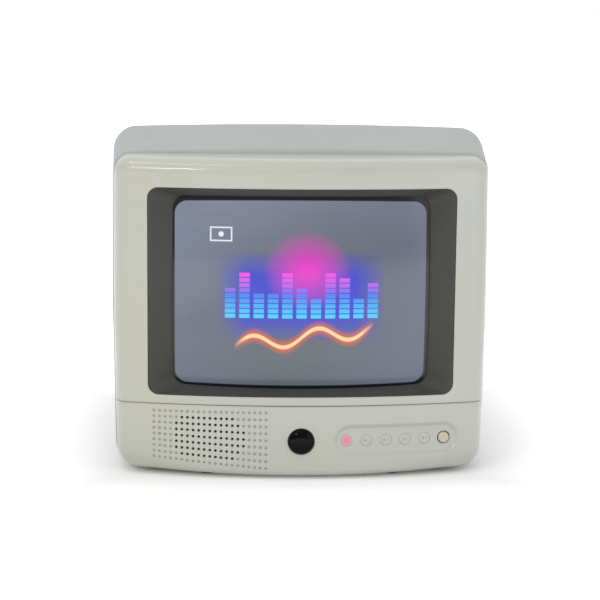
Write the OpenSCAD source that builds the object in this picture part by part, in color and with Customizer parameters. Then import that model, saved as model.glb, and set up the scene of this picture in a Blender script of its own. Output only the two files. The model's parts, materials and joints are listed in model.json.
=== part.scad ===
// Portable colour television with a 24 cm picture tube.
// Millimetres. The front faces -Y, +Z is up, and the origin is the centre of
// the box that holds the set, at the height of the feet.

/* [Picture window] */
// Width of the window in the screen surround
window_w = 198.8; // [190:0.2:206]
// Height of the window in the screen surround
window_h = 150.2; // [144:0.2:156]
// Corner radius of the window
window_r = 9; // [6:0.5:14]
// Width of the surround's slope at each side
slope_side = 18.8; // [15:0.2:24]
// Height of the surround's slope above the window
slope_top = 7.3; // [6:0.1:10]
// Height of the surround's slope below the window
slope_bottom = 2.9; // [2.4:0.1:5]

/* [Cabinet] */
// Width of the front frame beside the surround
frame_side = 26.4; // [24:0.2:34]
// Height of the flat front face above the surround
frame_top = 16.5; // [14:0.5:22]
// Height of the front face between the surround and the fascia
frame_below = 7.2; // [6:0.2:12]
// Depth of the front frame, from the fascia's foremost line to the rear cabinet
frame_d = 40; // [38:0.5:46]
// Rise of the frame's top from its front face to its rear edge
frame_rise = 7; // [5:0.5:9]
// Rounding of the frame's top front edge
frame_edge_r = 5; // [3:0.5:7]
// Plan radius of the front frame's bowed face
frame_bow_r = 550; // [480:10:700]
// How far the frame's front lies behind the fascia's foremost line
frame_set = 1.2; // [0.8:0.1:2]
// Height of the fascia
fascia_h = 53.4; // [50:0.2:58]
// Plan radius of the fascia's bowed face
fascia_bow_r = 480; // [440:10:700]
// Rounding of the fascia's lower front edge
fascia_edge_r = 7; // [4:0.5:9]
// Narrowing of each side of the cabinet towards its bottom
side_taper = 1.8; // [1:0.1:2.4]
// Narrowing of each side of the cabinet towards its top
top_taper = 0.9; // [0.4:0.1:1.4]
// Radius of the cabinet's lower corners, seen from the front
corner_low_r = 17; // [12:0.5:18]
// Radius of the frame's upper corners, seen from the front
corner_top_r = 12; // [8:0.5:13]
// Wall of the mouldings
wall = 2.6; // [2.2:0.1:3]
// How far the rear cabinet's sides stand outside the front frame
side_step = 1.8; // [1:0.1:2]
// How far the rear cabinet's sides flare outwards behind its lip
hood_flare = 2.5; // [1:0.1:3.5]
// How far the rear cabinet's lip stands above the front frame
lip_rise = 4; // [3:0.5:5]
// Rise of the rear cabinet from its lip to its highest line
hood_rise = 14.7; // [12:0.1:17]
// Rise of the rear cabinet's top from its corners to its middle
hood_crown = 1.5; // [0.5:0.1:2.5]
// Depth at which the rear cabinet begins to taper
taper_d = 140; // [130:1:150]
// Height of the feet
foot_h = 4; // [3:0.5:6]
// Diameter of the feet
foot_dia = 15; // [12:0.5:18]

/* [Picture tube] */
// Radius of the glass face
glass_r = 470; // [440:10:600]
// Depth of the foremost point of the glass
glass_set = 14.5; // [14:0.5:16]
// How far the panel reaches past the window on each side
panel_margin = 10.6; // [10:0.2:11.5]
// Length of the panel's skirt, from the foremost point of the glass
skirt_len = 44; // [42:1:46]
// Diameter of the neck
neck_dia = 29.1; // [28:0.1:30]
// Length of the tube, from the glass to the end of the neck
tube_len = 233; // [228:1:238]
// Room from the end of the neck to the outside of the rear cabinet
rear_room = 31.5; // [30:0.5:36]

/* [Controls] */
// Spacing of the lamp, the buttons and the mains button
control_pitch = 15.3; // [14.8:0.1:15.8]
// Distance from the middle of the set to the standby lamp
control_x = 35.2; // [34:0.2:37]
// Height of the row of controls
control_z = 30.3; // [29:0.1:31.5]
// Diameter of the small buttons
button_dia = 9; // [8:0.1:10]
// Travel of the small buttons
button_travel = 0.7; // [0.4:0.1:0.8]
// Diameter of the mains button
power_dia = 8.6; // [8:0.1:9.5]
// Travel of the mains button
power_travel = 3.5; // [2.5:0.5:4]
// Depth of the recess around the controls
recess_depth = 2; // [1:0.1:2.4]
// Height of the recess around the controls
recess_h = 22.5; // [20:0.5:23]
// Diameter of the remote control window
ir_dia = 20; // [18:0.5:22]
// How far the remote control window stands out
ir_proud = 4; // [3:0.5:5]

/* [Speaker grille] */
// Number of columns of holes
grille_columns = 21; // [15:1:21]
// Number of rows of holes
grille_rows = 9; // [7:1:9]
// Spacing of the columns
grille_pitch = 4.32; // [4:0.02:4.36]
// Distance from the middle of the set to the nearest column
grille_x = 27.1; // [26:0.2:28]
// Height of the middle of the grille's outer column
grille_z = 34; // [33:0.1:34.4]
// Spacing of the rows at the outer column
row_pitch_outer = 4.55; // [4:0.05:4.6]
// Spacing of the rows at the inner column
row_pitch_inner = 5.5; // [5:0.05:5.55]
// Diameter of the grille's holes
hole_dia = 2.2; // [1.6:0.1:2.4]
// Depth of the blind dimples around the holes
dimple_depth = 0.9; // [0.5:0.1:1.2]

/* [Circuit boards] */
// Height of the main board's underside
board_z = 13; // [12:0.5:14]
// Thickness of the boards
board_t = 1.6; // [1.2:0.1:2]
// Width of the main board at its front
board_w = 242; // [240:1:246]
// Width of the main board at its rear
board_rear_w = 190; // [186:1:194]
// Front edge of the main board, measured from the fascia's foremost line
board_front = 62; // [60:1:64]
// Room from the main board to the outside of the rear cabinet, for its sockets
socket_room = 15; // [14:0.5:18]

/* [Fits] */
// Gap around fixed pieces that fit in an opening
fit_gap = 0.3; // [0.2:0.05:0.4]
// Gap around a piece that slides
slide_gap = 0.25; // [0.2:0.05:0.35]
// Gap around a screw or a shaft in its hole
thread_gap = 0.05; // [0.03:0.01:0.08]

/* [Hidden] */
$fn = 48;

socket_proud = 2;
rear_d = glass_set + tube_len + rear_room;
body_d = rear_d + ir_proud + socket_proud;
front_y = -body_d / 2 + ir_proud;

// Heights, from the feet up
bottom_z = foot_h;
seam_z = bottom_z + fascia_h;
surround_z0 = seam_z + frame_below;
window_z0 = surround_z0 + slope_bottom;
window_z1 = window_z0 + window_h;
surround_z1 = window_z1 + slope_top;
face_z1 = surround_z1 + frame_top;
frame_z1 = face_z1 + frame_rise;
lip_z = frame_z1 + lip_rise;
body_h = lip_z + hood_rise;
tube_z = (window_z0 + window_z1) / 2;

// Half widths
surround_hw = window_w / 2 + slope_side;
frame_hw = surround_hw + frame_side;
lip_hw = frame_hw + side_step;
body_hw = lip_hw + hood_flare;

// The surround's outer outline, seen from the front
surround_h = surround_z1 - surround_z0;
surround_mid = (surround_z0 + surround_z1) / 2;
surround_r = 8.5;

// Depth of the bowed faces behind the fascia's foremost line at a distance x
function sag(x, r) = r - sqrt(r * r - x * x);
function fascia_face(x) = sag(x, fascia_bow_r);
function frame_face(x) = frame_set + sag(x, frame_bow_r);
function glass_face(x, z) = glass_set + sag(norm([x, z - tube_z]), glass_r);

// The ring between the fascia and the wall behind it
core_gap = 0.5;
core_wall = 2.2;
core_inset = wall + core_gap;
fascia_d = frame_d - 1.5;

rear_hw = body_hw - 44.5;
rear_top = body_h - 51;
crest_d = frame_d + 58;

// Rear cabinet: [depth, half width, lowest z, highest z, upper and lower corner radius]
hood_sections = [
    [frame_d + fit_gap, lip_hw - 0.8, bottom_z, frame_z1 + 0.5 + hood_crown, 13, corner_low_r],
    [frame_d + 3, lip_hw, bottom_z, lip_z, 14.5, corner_low_r],
    [crest_d, body_hw, bottom_z, body_h, 23, corner_low_r],
    [taper_d, body_hw - 1.5, bottom_z, body_h - 4.5, 25, corner_low_r],
    [rear_d - 9, rear_hw + 2.5, bottom_z, rear_top + 3.5, 26, 20],
    [rear_d, rear_hw - 5, bottom_z + 7, rear_top - 5, 20, 14]];

// Posts and screws that join the cabinets: [x, z]
post_r = 6;
screw_r = 1.9;
upper_post = [frame_hw - 14, frame_z1 - 20];
lower_post = [frame_hw - 11.5, bottom_z + 13.5];
posts = [for (s = [-1, 1], p = [upper_post, lower_post]) [s * p[0], p[1]]];
post_front_d = 26;

// Picture tube
panel_w = window_w + 2 * panel_margin;
panel_h = window_h + 2 * panel_margin;
panel_r = 22;
panel_end = glass_set + skirt_len;
band_d0 = panel_end - 22;
band_d1 = panel_end - 8;
band_t = 1.2;
lug_d = band_d0 + 6;
lug_t = 2;
lug_x = panel_w / 2 + 7;
lug_z = panel_h / 2 + 7;
lugs = [for (sx = [-1, 1], sz = [-1, 1]) [sx * lug_x, sz * lug_z]];
crt_screw_r = 2;
funnel_len = 110;
neck_d0 = panel_end + funnel_len;
neck_d1 = glass_set + tube_len;
neck_r = neck_dia / 2;
base_len = 9;
glass_t = 4;
funnel_gap = 0.4;

// Controls
function control_at(k) = control_x + k * control_pitch;
power_x = control_at(5);
recess_x0 = control_x - 8.1;
recess_x1 = power_x + 10.5;
floor_t = 2.4;
button_len = 9;
collar_t = 1.2;
control_board_d = 31;
tact_h = 4.3;
lamp_r = 3;

// Speaker
speaker_x = -grille_x - (grille_columns - 1) / 2 * grille_pitch;
speaker_z = bottom_z + core_inset + core_wall + 24.2;
speaker_d = 18;
speaker_hw = 36;
speaker_hh = 22;
grille_mid = (grille_rows - 1) / 2;

// Main board
board_top = board_z + board_t;
board_step_d = board_front + 74;
board_end = rear_d - socket_room;
// The parts' places on the main board are given for a board of this length
layout_len = 202;
layout_scale = (board_end - board_front) / layout_len;
support_w = 3;
gland_x = -72;
gland_z = 34;
gland_r = 6;
aerial_x = 72;
aerial_z = 40;
scart_x = 22;
scart_z = board_top + 12;
scart_w = 50;
scart_h = 16;
phone_x = -28;
phone_z = board_top + 8;
shell_r = 4.75;

// Recessed grip in the slope behind the top
grip_w = 120;
grip_d0 = rear_d - 83;
grip_d1 = rear_d - 53;
grip_z = body_h - 52;
grip_wall = 2.2;

// ---------------------------------------------------------------- helpers

function at(d) = front_y + d;

function arc(cx, cy, r, a0, a1, n = 6) =
    [for (i = [0:n]) let (a = a0 + (a1 - a0) * i / n) [cx + r * cos(a), cy + r * sin(a)]];

// Rounded rectangle in X and Z: corner arcs of n steps, sides of m steps
function outline(w, h, r, n = 6, m = 8) =
    let (cx = w / 2 - r, cz = h / 2 - r,
         centres = [[cx, cz], [-cx, cz], [-cx, -cz], [cx, -cz]],
         corners = [for (k = [0:3]) arc(centres[k][0], centres[k][1], r, 90 * k, 90 * k + 90, n)])
    [for (k = [0:3]) each concat(corners[k],
        let (p = corners[k][n], q = corners[(k + 1) % 4][0])
        [for (j = [1:m - 1]) p + (q - p) * j / m])];

// Closed surface through rings of points. Joined end to end it is a solid ring,
// and otherwise its ends are capped.
module skin(rings, joined = false) {
    count = len(rings[0]);
    spans = joined ? len(rings) : len(rings) - 1;
    points = [for (ring = rings) each ring];
    function index(j, i) = (j % len(rings)) * count + i % count;
    sides = [for (j = [0:spans - 1], i = [0:count - 1])
        each [[index(j, i), index(j + 1, i), index(j + 1, i + 1)],
              [index(j, i), index(j + 1, i + 1), index(j, i + 1)]]];
    caps = joined ? [] : [[for (i = [0:count - 1]) i],
        [for (i = [count - 1:-1:0]) index(len(rings) - 1, i)]];
    polyhedron(points = points, faces = concat(sides, caps), convexity = 6);
}

// Cylinder along Y from depth d0 to depth d1
module rod(x, z, r, d0, d1, r1 = undef) {
    translate([x, at(d0), z]) rotate([-90, 0, 0])
        cylinder(h = d1 - d0, r1 = r, r2 = is_undef(r1) ? r : r1);
}

module tube(x, z, r_out, r_in, d0, d1) {
    difference() {
        rod(x, z, r_out, d0, d1);
        rod(x, z, r_in, d0 - 1, d1 + 1);
    }
}

// Box between two corners given as [x, depth, z]
module block(a, b) {
    translate([a[0], at(a[1]), a[2]]) cube([b[0] - a[0], b[1] - a[1], b[2] - a[2]]);
}

// Flat shape drawn in X and Z, from depth d0 to depth d1
module plate(d0, d1) {
    translate([0, at(d1), 0]) rotate([90, 0, 0]) linear_extrude(d1 - d0) children();
}

module rounded(w, h, r) {
    square([w - 2 * r, h], center = true);
    square([w, h - 2 * r], center = true);
    for (sx = [-1, 1], sz = [-1, 1])
        translate([sx * (w / 2 - r), sz * (h / 2 - r)]) circle(r);
}

// Body of revolution about the tube's axis, from a profile of [radius, depth]
module spun(profile) {
    translate([0, front_y, tube_z]) rotate([-90, 0, 0]) rotate_extrude() polygon(profile);
}

// ---------------------------------------------------------------- cabinet

bow_span = 40;
bow_depth = 66;

// Upright section swept round the bow's axis; the section is drawn in [radius, z]
module bowed(r, set) {
    translate([0, at(set) + r, 0]) rotate([0, 0, -90 - bow_span / 2])
        rotate_extrude(angle = bow_span, $fn = 120) children();
}

// Front moulding's outline, seen from the front, t inside its outer face
module front_outline(t) {
    hw = frame_hw - t;
    low_hw = hw - side_taper;
    r_low = corner_low_r - t;
    r_top = corner_top_r - min(t, 4);
    z0 = bottom_z + t;
    z1 = frame_z1 - t;
    right = concat(
        arc(low_hw - r_low, z0 + r_low, r_low, -90, 0),
        [[low_hw + side_taper * 0.5, seam_z - 6], [hw, seam_z + 60], [hw, surround_mid + 10]],
        arc(hw - top_taper - r_top, z1 - r_top, r_top, 0, 90));
    left = [for (i = [len(right) - 1:-1:0]) [-right[i][0], right[i][1]]];
    polygon(concat(right, left));
}

// Plan that rounds the front moulding's upright front edges, t inside
module front_plan(t, z0, z1) {
    hw = frame_hw - t;
    edge_r = 11;
    edge_d = frame_face(hw - edge_r) + edge_r + t - 0.5;
    right = concat([[hw - edge_r, -20]], arc(hw - edge_r, edge_d, edge_r, -90, 0),
        [[hw, frame_d + 30]]);
    left = [for (i = [len(right) - 1:-1:0]) [-right[i][0], right[i][1]]];
    translate([0, front_y, z0]) linear_extrude(z1 - z0) polygon(concat(right, left));
}

// Upper part of the front moulding as a solid, t inside its outer face
module frame_solid(t, z0, d1) {
    intersection() {
        bowed(frame_bow_r - t, frame_set + t)
            polygon(concat(
                [[frame_bow_r - t - bow_depth, z0], [frame_bow_r - t, z0]],
                arc(frame_bow_r - frame_edge_r - t, face_z1 - t, frame_edge_r, 0, 80),
                [[frame_bow_r - t - bow_depth, frame_z1 + 4 - t]]));
        plate(-10, d1) front_outline(t);
        front_plan(t, z0, frame_z1 + 10);
    }
}

// Lower part of the front moulding as a solid, t inside the fascia's outer face
module fascia_solid(t, z1, d1) {
    r = fascia_bow_r - t;
    edge = max(fascia_edge_r - t, 1);
    intersection() {
        bowed(r, t)
            polygon(concat(
                [[r, z1], [r - bow_depth, z1], [r - bow_depth, bottom_z + t]],
                arc(r - edge, bottom_z + t + edge, edge, -90, 0)));
        plate(-10, d1) front_outline(t);
        front_plan(t, bottom_z - 5, z1 + 5);
    }
}

module surround_opening(d0, d1, gap) {
    plate(d0, d1) translate([0, surround_mid])
        rounded(2 * (surround_hw + gap), surround_h + 2 * gap, surround_r + gap);
}

module recess(grow, d0, d1) {
    r = recess_h / 2 + grow;
    plate(d0, d1) {
        for (x = [recess_x0 + recess_h / 2, recess_x1 - recess_h / 2])
            translate([x, control_z]) circle(r);
        translate([recess_x0 + recess_h / 2, control_z - r])
            square([recess_x1 - recess_x0 - recess_h, 2 * r]);
    }
}

// Everything behind the fascia's bowed face at t inside it
module behind_fascia(t) {
    translate([0, at(t) + fascia_bow_r - t, 0])
        cylinder(h = 300, r = fascia_bow_r - t, $fn = 360);
}

module front_cabinet() {
    color("gainsboro") {
        difference() {
            union() {
                frame_solid(0, seam_z + fit_gap, frame_d);
                fascia_solid(core_inset, seam_z + 8, frame_d);
            }
            frame_solid(wall, seam_z + fit_gap + wall, frame_d + 1);
            fascia_solid(core_inset + core_wall, seam_z + 12, frame_d + 1);
            surround_opening(-12, 34, 0);
            // Windows in the wall behind the fascia
            plate(-12, 34) translate([speaker_x, speaker_z]) rounded(64, 37, 18);
            plate(-12, 34) translate([(control_x + power_x) / 2, control_z])
                rounded(power_x - control_x + 26, recess_h + 9, 10);
            rod(0, control_z, ir_dia / 2 + 3, -12, 34);
        }
        // Posts for the rear cabinet's screws
        difference() {
            intersection() {
                union() for (p = posts) rod(p[0], p[1], post_r, post_front_d - 16, frame_d);
                union() {
                    frame_solid(1, seam_z + fit_gap + 1, frame_d);
                    fascia_solid(core_inset + 1, seam_z, frame_d);
                }
            }
            for (p = posts) rod(p[0], p[1], screw_r + thread_gap, post_front_d, frame_d + 1);
        }
        // Posts for the picture tube's screws
        difference() {
            intersection() {
                union() for (p = lugs) rod(p[0], tube_z + p[1], 5, 4, lug_d);
                union() {
                    frame_solid(1, seam_z + fit_gap + 1, lug_d);
                    fascia_solid(core_inset + 1, seam_z + 8, lug_d);
                }
            }
            for (p = lugs)
                rod(p[0], tube_z + p[1], crt_screw_r + thread_gap, lug_d - 13, lug_d + 1);
        }
        // Posts that carry the control board
        for (x = [control_at(0) - 8, control_at(4) + 8])
            intersection() {
                rod(x, control_z + recess_h / 2 + 8.5, 3, 4, control_board_d);
                fascia_solid(core_inset + 1, seam_z, frame_d);
            }
    }
}

function column_x(c) = -grille_x - (grille_columns - 1 - c) * grille_pitch;
function row_pitch(c) =
    row_pitch_outer + (row_pitch_inner - row_pitch_outer) * c / (grille_columns - 1);
function row_z(c, r) = grille_z - 3.2 * c / (grille_columns - 1) + (grille_mid - r) * row_pitch(c);
function hole_open(c, r) =
    pow((c - (grille_columns - 1) / 2) / 6.7, 2) + pow((r - grille_mid) / 3.9, 2) <= 1;

module lower_fascia() {
    color("gainsboro") difference() {
        union() {
            difference() {
                fascia_solid(0, seam_z, fascia_d);
                fascia_solid(wall, seam_z + 5, fascia_d + 1);
            }
            // Thicker wall behind the recess
            intersection() {
                recess(floor_t, -5, 24);
                behind_fascia(1);
                difference() {
                    plate(-5, 30) front_outline(1);
                    behind_fascia(recess_depth + floor_t);
                }
            }
        }
        difference() {
            recess(0, -10, 30);
            behind_fascia(recess_depth);
        }
        for (k = [0:4]) rod(control_at(k), control_z, button_dia / 2 + slide_gap, -5, 30);
        rod(power_x, control_z, power_dia / 2 + 0.6, -5, 30);
        rod(0, control_z, ir_dia / 2 + fit_gap, -5, 12);
        for (c = [0:grille_columns - 1], r = [0:grille_rows - 1])
            let (d = fascia_face(column_x(c)))
                rod(column_x(c), row_z(c, r), hole_dia / 2, d - 2,
                    d + (hole_open(c, r) ? wall + 2 : dimple_depth), $fn = 20);
        for (s = [-1, 1]) translate([s * front_foot_x, at(front_foot_d), 0])
            cylinder(h = 20, r = spigot_r + thread_gap);
    }
}

// One section of the surround's ring for each point of its outline
flange = 4;
slope_t = 1.6;
module screen_surround() {
    outer = outline(2 * (surround_hw - fit_gap), surround_h - 2 * fit_gap, surround_r);
    rim = outline(2 * (surround_hw + flange), surround_h + 2 * flange, surround_r + flange);
    inner = outline(window_w, window_h, window_r);
    back = outline(window_w + 2 * slope_t, window_h + 2 * slope_t, window_r + slope_t);
    front_gap = 0.5;
    flange_t = 1.8;
    glass_gap = 0.8;
    sections = [for (i = [0:len(outer) - 1])
        let (o = outer[i] + [0, surround_mid], f = rim[i] + [0, surround_mid],
             w = inner[i] + [0, tube_z], b = back[i] + [0, tube_z],
             d = frame_face(o[0]), e = frame_face(f[0]) + wall + fit_gap)
        [[o[0], at(d + front_gap), o[1]],
         [w[0], at(glass_face(w[0], w[1]) - glass_gap), w[1]],
         [b[0], at(glass_face(b[0], b[1]) - glass_gap), b[1]],
         [f[0], at(e + flange_t), f[1]],
         [f[0], at(e), f[1]],
         [o[0], at(d + wall + fit_gap), o[1]]]];
    color("dimgray") skin(sections, joined = true);
}

function hood_outline(section, t) =
    let (hw = section[1] - t, z0 = section[2] + t, z1 = section[3] - t,
         r1 = section[4] - t, r0 = section[5] - t,
         cx = hw - top_taper - r1,
         right = concat(
             arc(hw - side_taper - r0, z0 + r0, r0, -90, 0, 9),
             [[hw, (z0 + z1) / 2]],
             arc(cx, z1 - hood_crown - r1, r1, 0, 90, 10),
             [for (k = [3:-1:1]) [cx * k / 4, z1 - hood_crown * k * k / 16]]))
    concat(right, [[0, z1]], [for (i = [len(right) - 1:-1:0]) [-right[i][0], right[i][1]]]);

// Rear cabinet as a solid, t inside its outer face and open or closed behind
module hood_solid(t, d0) {
    last = len(hood_sections) - 1;
    slab_t = 0.05;
    hull() for (i = [0:last])
        let (d = i == 0 ? d0 : hood_sections[i][0] - (i == last ? t + slab_t : 0))
            plate(d, d + slab_t) polygon(hood_outline(hood_sections[i], t));
}

module grip_block(t) {
    block([-grip_w / 2 - t, grip_d0 - t, grip_z - t], [grip_w / 2 + t, grip_d1 + t, body_h + 20]);
}

module well_cores(r, d0) {
    for (p = posts) rod(p[0], p[1], r, d0, rear_d);
}

module vents() {
    // Upright slots in the rear wall and through the slope above it
    for (s = [-1, 1], i = [0:9])
        block([s * (24 + 7 * i) - 1.5, rear_d - 24, tube_z + 8],
            [s * (24 + 7 * i) + 1.5, rear_d + 5, tube_z + 44]);
    for (s = [-1, 1], i = [0:8])
        block([s * (7 + 13 * i) - 1.75, taper_d + 14, body_h - 40],
            [s * (7 + 13 * i) + 1.75, grip_d0 - 12, body_h + 5]);
    // Slots in the underside
    for (i = [-4:4])
        block([18 * i - 2, taper_d + 10, 0], [18 * i + 2, rear_d - 79, bottom_z + wall + 1]);
}

module rear_cabinet() {
    color("silver") difference() {
        union() {
            difference() {
                hood_solid(0, frame_d + fit_gap);
                hood_solid(wall, frame_d - 1);
            }
            intersection() {
                hood_solid(1, frame_d + fit_gap);
                union() {
                    well_cores(post_r + 1, frame_d + fit_gap);
                    grip_block(grip_wall);
                    // Rails that carry the main board
                    for (s = [-1, 1], d = [board_front + 8, board_end - 30])
                        block([s * 70 - support_w, d, 0], [s * 70 + support_w, d + 8, board_z]);
                }
            }
        }
        well_cores(screw_r + thread_gap, frame_d - 1);
        well_cores(4.2, frame_d + 14);
        grip_block(0);
        vents();
        rod(aerial_x, aerial_z, shell_r + 1.2 + fit_gap, rear_d - 20, rear_d + 5);
        block([scart_x - scart_w / 2 - fit_gap, rear_d - 20, scart_z - scart_h / 2 - fit_gap],
            [scart_x + scart_w / 2 + fit_gap, rear_d + 5, scart_z + scart_h / 2 + fit_gap]);
        rod(phone_x, phone_z, 4 + fit_gap, rear_d - 20, rear_d + 5);
        rod(gland_x, gland_z, gland_r + fit_gap, rear_d - 20, rear_d + 5);
        for (s = [-1, 1]) translate([s * rear_foot_x, at(rear_foot_d), 0])
            cylinder(h = bottom_z + wall + 1, r = spigot_r + thread_gap);
    }
}

// ---------------------------------------------------------------- feet and screws

spigot_r = 3;
front_foot_x = 72;
front_foot_d = 27;
rear_foot_x = 88;
rear_foot_d = rear_d - 57;

module foot(x, d) {
    color("dimgray") translate([x, at(d), 0]) {
        cylinder(h = foot_h, r1 = foot_dia / 2 - 1, r2 = foot_dia / 2);
        cylinder(h = foot_h + wall, r = spigot_r);
    }
}

module foot_front_left() foot(-front_foot_x, front_foot_d);
module foot_front_right() foot(front_foot_x, front_foot_d);
module foot_rear_left() foot(-rear_foot_x, rear_foot_d);
module foot_rear_right() foot(rear_foot_x, rear_foot_d);

module screw(x, z, r, head_r, tip_d, head_d) {
    difference() {
        union() {
            rod(x, z, r, tip_d + 2, head_d + 0.5);
            rod(x, z, r * 0.4, tip_d, tip_d + 2, r);
            rod(x, z, head_r, head_d, head_d + 2.4);
        }
        for (a = [0, 90]) translate([x, at(head_d + 2.4), z]) rotate([0, a, 0])
            cube([head_r * 1.1, 2.4, 0.9], center = true);
    }
}

module cabinet_screws() {
    color("darkgray")
        for (p = posts) screw(p[0], p[1], screw_r, 3.6, frame_d - 10, frame_d + 14);
}

module crt_screws() {
    color("darkgray")
        for (p = lugs)
            screw(p[0], tube_z + p[1], crt_screw_r, 4, lug_d - 11, lug_d + lug_t + thread_gap);
}

// ---------------------------------------------------------------- picture tube

module panel_prism(inset, d0, d1) {
    plate(d0, d1) translate([0, tube_z])
        rounded(panel_w - 2 * inset, panel_h - 2 * inset, panel_r - inset);
}

module glass_ball(inset) {
    translate([0, at(glass_set) + glass_r, tube_z]) sphere(glass_r - inset, $fn = 300);
}

module crt_panel() {
    color("slategray") difference() {
        intersection() {
            panel_prism(0, glass_set - 5, panel_end);
            glass_ball(0);
        }
        intersection() {
            panel_prism(8, glass_set, panel_end + 1);
            glass_ball(9);
        }
    }
}

module shadow_mask() {
    mask_t = 1;
    color("dimgray") difference() {
        intersection() {
            panel_prism(8.5, glass_set, panel_end - 14);
            glass_ball(16);
        }
        intersection() {
            panel_prism(8.5 + mask_t, glass_set, panel_end);
            glass_ball(16 + mask_t);
        }
    }
}

// Funnel outlines from the panel to the neck: [share of length, width, height, radius]
function funnel_ring(i) =
    [[0, panel_w, panel_h, panel_r],
     [0.14, panel_w - 14, panel_h - 12, 34],
     [0.34, 0.74 * panel_w, 0.78 * panel_h, 48],
     [0.58, 112, 98, 48],
     [0.8, 62, 62, 31],
     [0.93, neck_dia + 5, neck_dia + 5, neck_r + 2.5],
     [1, neck_dia, neck_dia, neck_r]][i];

function funnel_points(i, inset, end_shift = 0) =
    let (f = funnel_ring(i))
    [for (p = outline(f[1] - 2 * inset, f[2] - 2 * inset, f[3] - inset))
        [p[0], at(panel_end + f[0] * funnel_len), p[1] + tube_z]];

module crt_funnel() {
    neck_t = 2;
    outer = [for (i = [0:6]) funnel_points(i, 0)];
    inner = [for (i = [6:-1:0]) funnel_points(i, i == 6 ? neck_t : (i == 0 ? 8 : glass_t))];
    color("darkslategray") skin(concat(outer, inner), joined = true);
}

module crt_neck() {
    color("lightsteelblue")
        spun([[neck_r - 2, neck_d0], [neck_r, neck_d0], [neck_r, neck_d1],
              [4, neck_d1], [4, neck_d1 - 2], [neck_r - 2, neck_d1 - 2]]);
}

pin_ring_r = 7.6;
module crt_base() {
    color("peru") {
        rod(0, tube_z, neck_r - 2.5, neck_d1, neck_d1 + 2.5);
        rod(0, tube_z, 3.5, neck_d1 + 2.5, neck_d1 + base_len);
        for (k = [0:8])
            rod(pin_ring_r * cos(36 * k), tube_z + pin_ring_r * sin(36 * k), 0.55,
                neck_d1 + 2, neck_d1 + base_len, $fn = 16);
    }
}

module rim_band() {
    grow = fit_gap;
    color("darkgray") difference() {
        union() {
            panel_prism(-grow - band_t, band_d0, band_d1);
            for (p = lugs) plate(lug_d, lug_d + lug_t) translate([0, tube_z])
                polygon([for (q = [[-3, 5.5], [5.5, -3], [-10, -24], [-24, -10]])
                    [p[0] + sign(p[0]) * q[0], p[1] + sign(p[1]) * q[1]]]);
        }
        panel_prism(-grow, band_d0 - 1, band_d1 + 1);
        for (p = lugs)
            rod(p[0], tube_z + p[1], crt_screw_r + thread_gap, lug_d - 1, lug_d + lug_t + 1);
    }
}

yoke_d0 = panel_end + 0.62 * funnel_len;
yoke_d1 = neck_d0 + 6;
module yoke_former() {
    a = yoke_d0;
    color("ivory")
        spun([[53, a], [60, a], [60, a + 2.4], [54.5, a + 2.4],
              [37.5, a + 22], [22.5, neck_d0 - 6], [20, neck_d0 + 2],
              [20, yoke_d1], [neck_r + funnel_gap, yoke_d1], [neck_r + funnel_gap, neck_d0 + 1],
              [neck_r + 4.6, neck_d0 - 6], [35.4, a + 21]]);
}

module yoke_core() {
    a = yoke_d0 + 7;
    color("dimgray")
        spun([[50.6, a], [57, a], [43, a + 26], [36, a + 26], [30.8, neck_d0 - 11],
              [38.2, a + 14.8]]);
}

module yoke_coils() {
    color("chocolate") {
        for (s = [0, 180]) translate([0, front_y, tube_z]) rotate([-90, s, 0])
            rotate_extrude(angle = 150, start = 15) polygon([
                [55.4, yoke_d0 + 2.8], [59.5, yoke_d0 + 2.8], [59.5, yoke_d0 + 6.6],
                [54.6, yoke_d0 + 6.6]]);
        for (s = [0, 180]) translate([0, front_y, tube_z]) rotate([-90, s, 0])
            rotate_extrude(angle = 150, start = 15) polygon([
                [24.6, neck_d0 - 6], [31, neck_d0 - 8], [31, neck_d0 - 2], [21.8, neck_d0 - 2]]);
    }
}

clamp_d0 = yoke_d1 + 0.3;
clamp_w = 8;
module yoke_clamp() {
    color("darkgray") {
        tube(0, tube_z, neck_r + 2.4, neck_r + thread_gap, clamp_d0, clamp_d0 + clamp_w);
        block([neck_r + 2.2, clamp_d0, tube_z - 4], [neck_r + 9, clamp_d0 + clamp_w, tube_z + 4]);
    }
}

ring_d0 = clamp_d0 + clamp_w + 1;
module magnet_rings() {
    ring_t = 1.5;
    color("ivory") {
        tube(0, tube_z, neck_r + 3, neck_r + thread_gap, ring_d0, ring_d0 + 24);
        tube(0, tube_z, 23, neck_r + 3 + thread_gap, ring_d0 + 0.2, ring_d0 + 2.2);
    }
    color("dimgray") for (k = [0:5])
        let (d = ring_d0 + 2.4 + 2.1 * k, a = 25 + 55 * k) {
            tube(0, tube_z, 22, neck_r + 3 + thread_gap, d, d + ring_t);
            translate([0, at(d), tube_z]) rotate([0, a, 0])
                translate([20.5, 0, -2]) cube([7, ring_t, 4]);
        }
    color("ivory") tube(0, tube_z, 23, neck_r + 3 + thread_gap, ring_d0 + 15.1, ring_d0 + 18);
}

// High voltage contact on the funnel's upper face
anode_share = 0.24;
anode_x = 24;
module anode_frame() {
    d = panel_end + anode_share * funnel_len;
    half_h = (panel_h - 12 + 0.78 * panel_h) / 4;
    slope = atan2((panel_h - 12 - 0.78 * panel_h) / 2, 0.2 * funnel_len);
    translate([anode_x, at(d), tube_z + half_h]) rotate([-slope, 0, 0]) children();
}

module anode_cap() {
    color("dimgray") anode_frame() {
        translate([0, 0, 0.6]) cylinder(h = 2.2, r1 = 12, r2 = 10);
        translate([0, 0, 2.8]) cylinder(h = 4, r = 5.5);
    }
}

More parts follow.
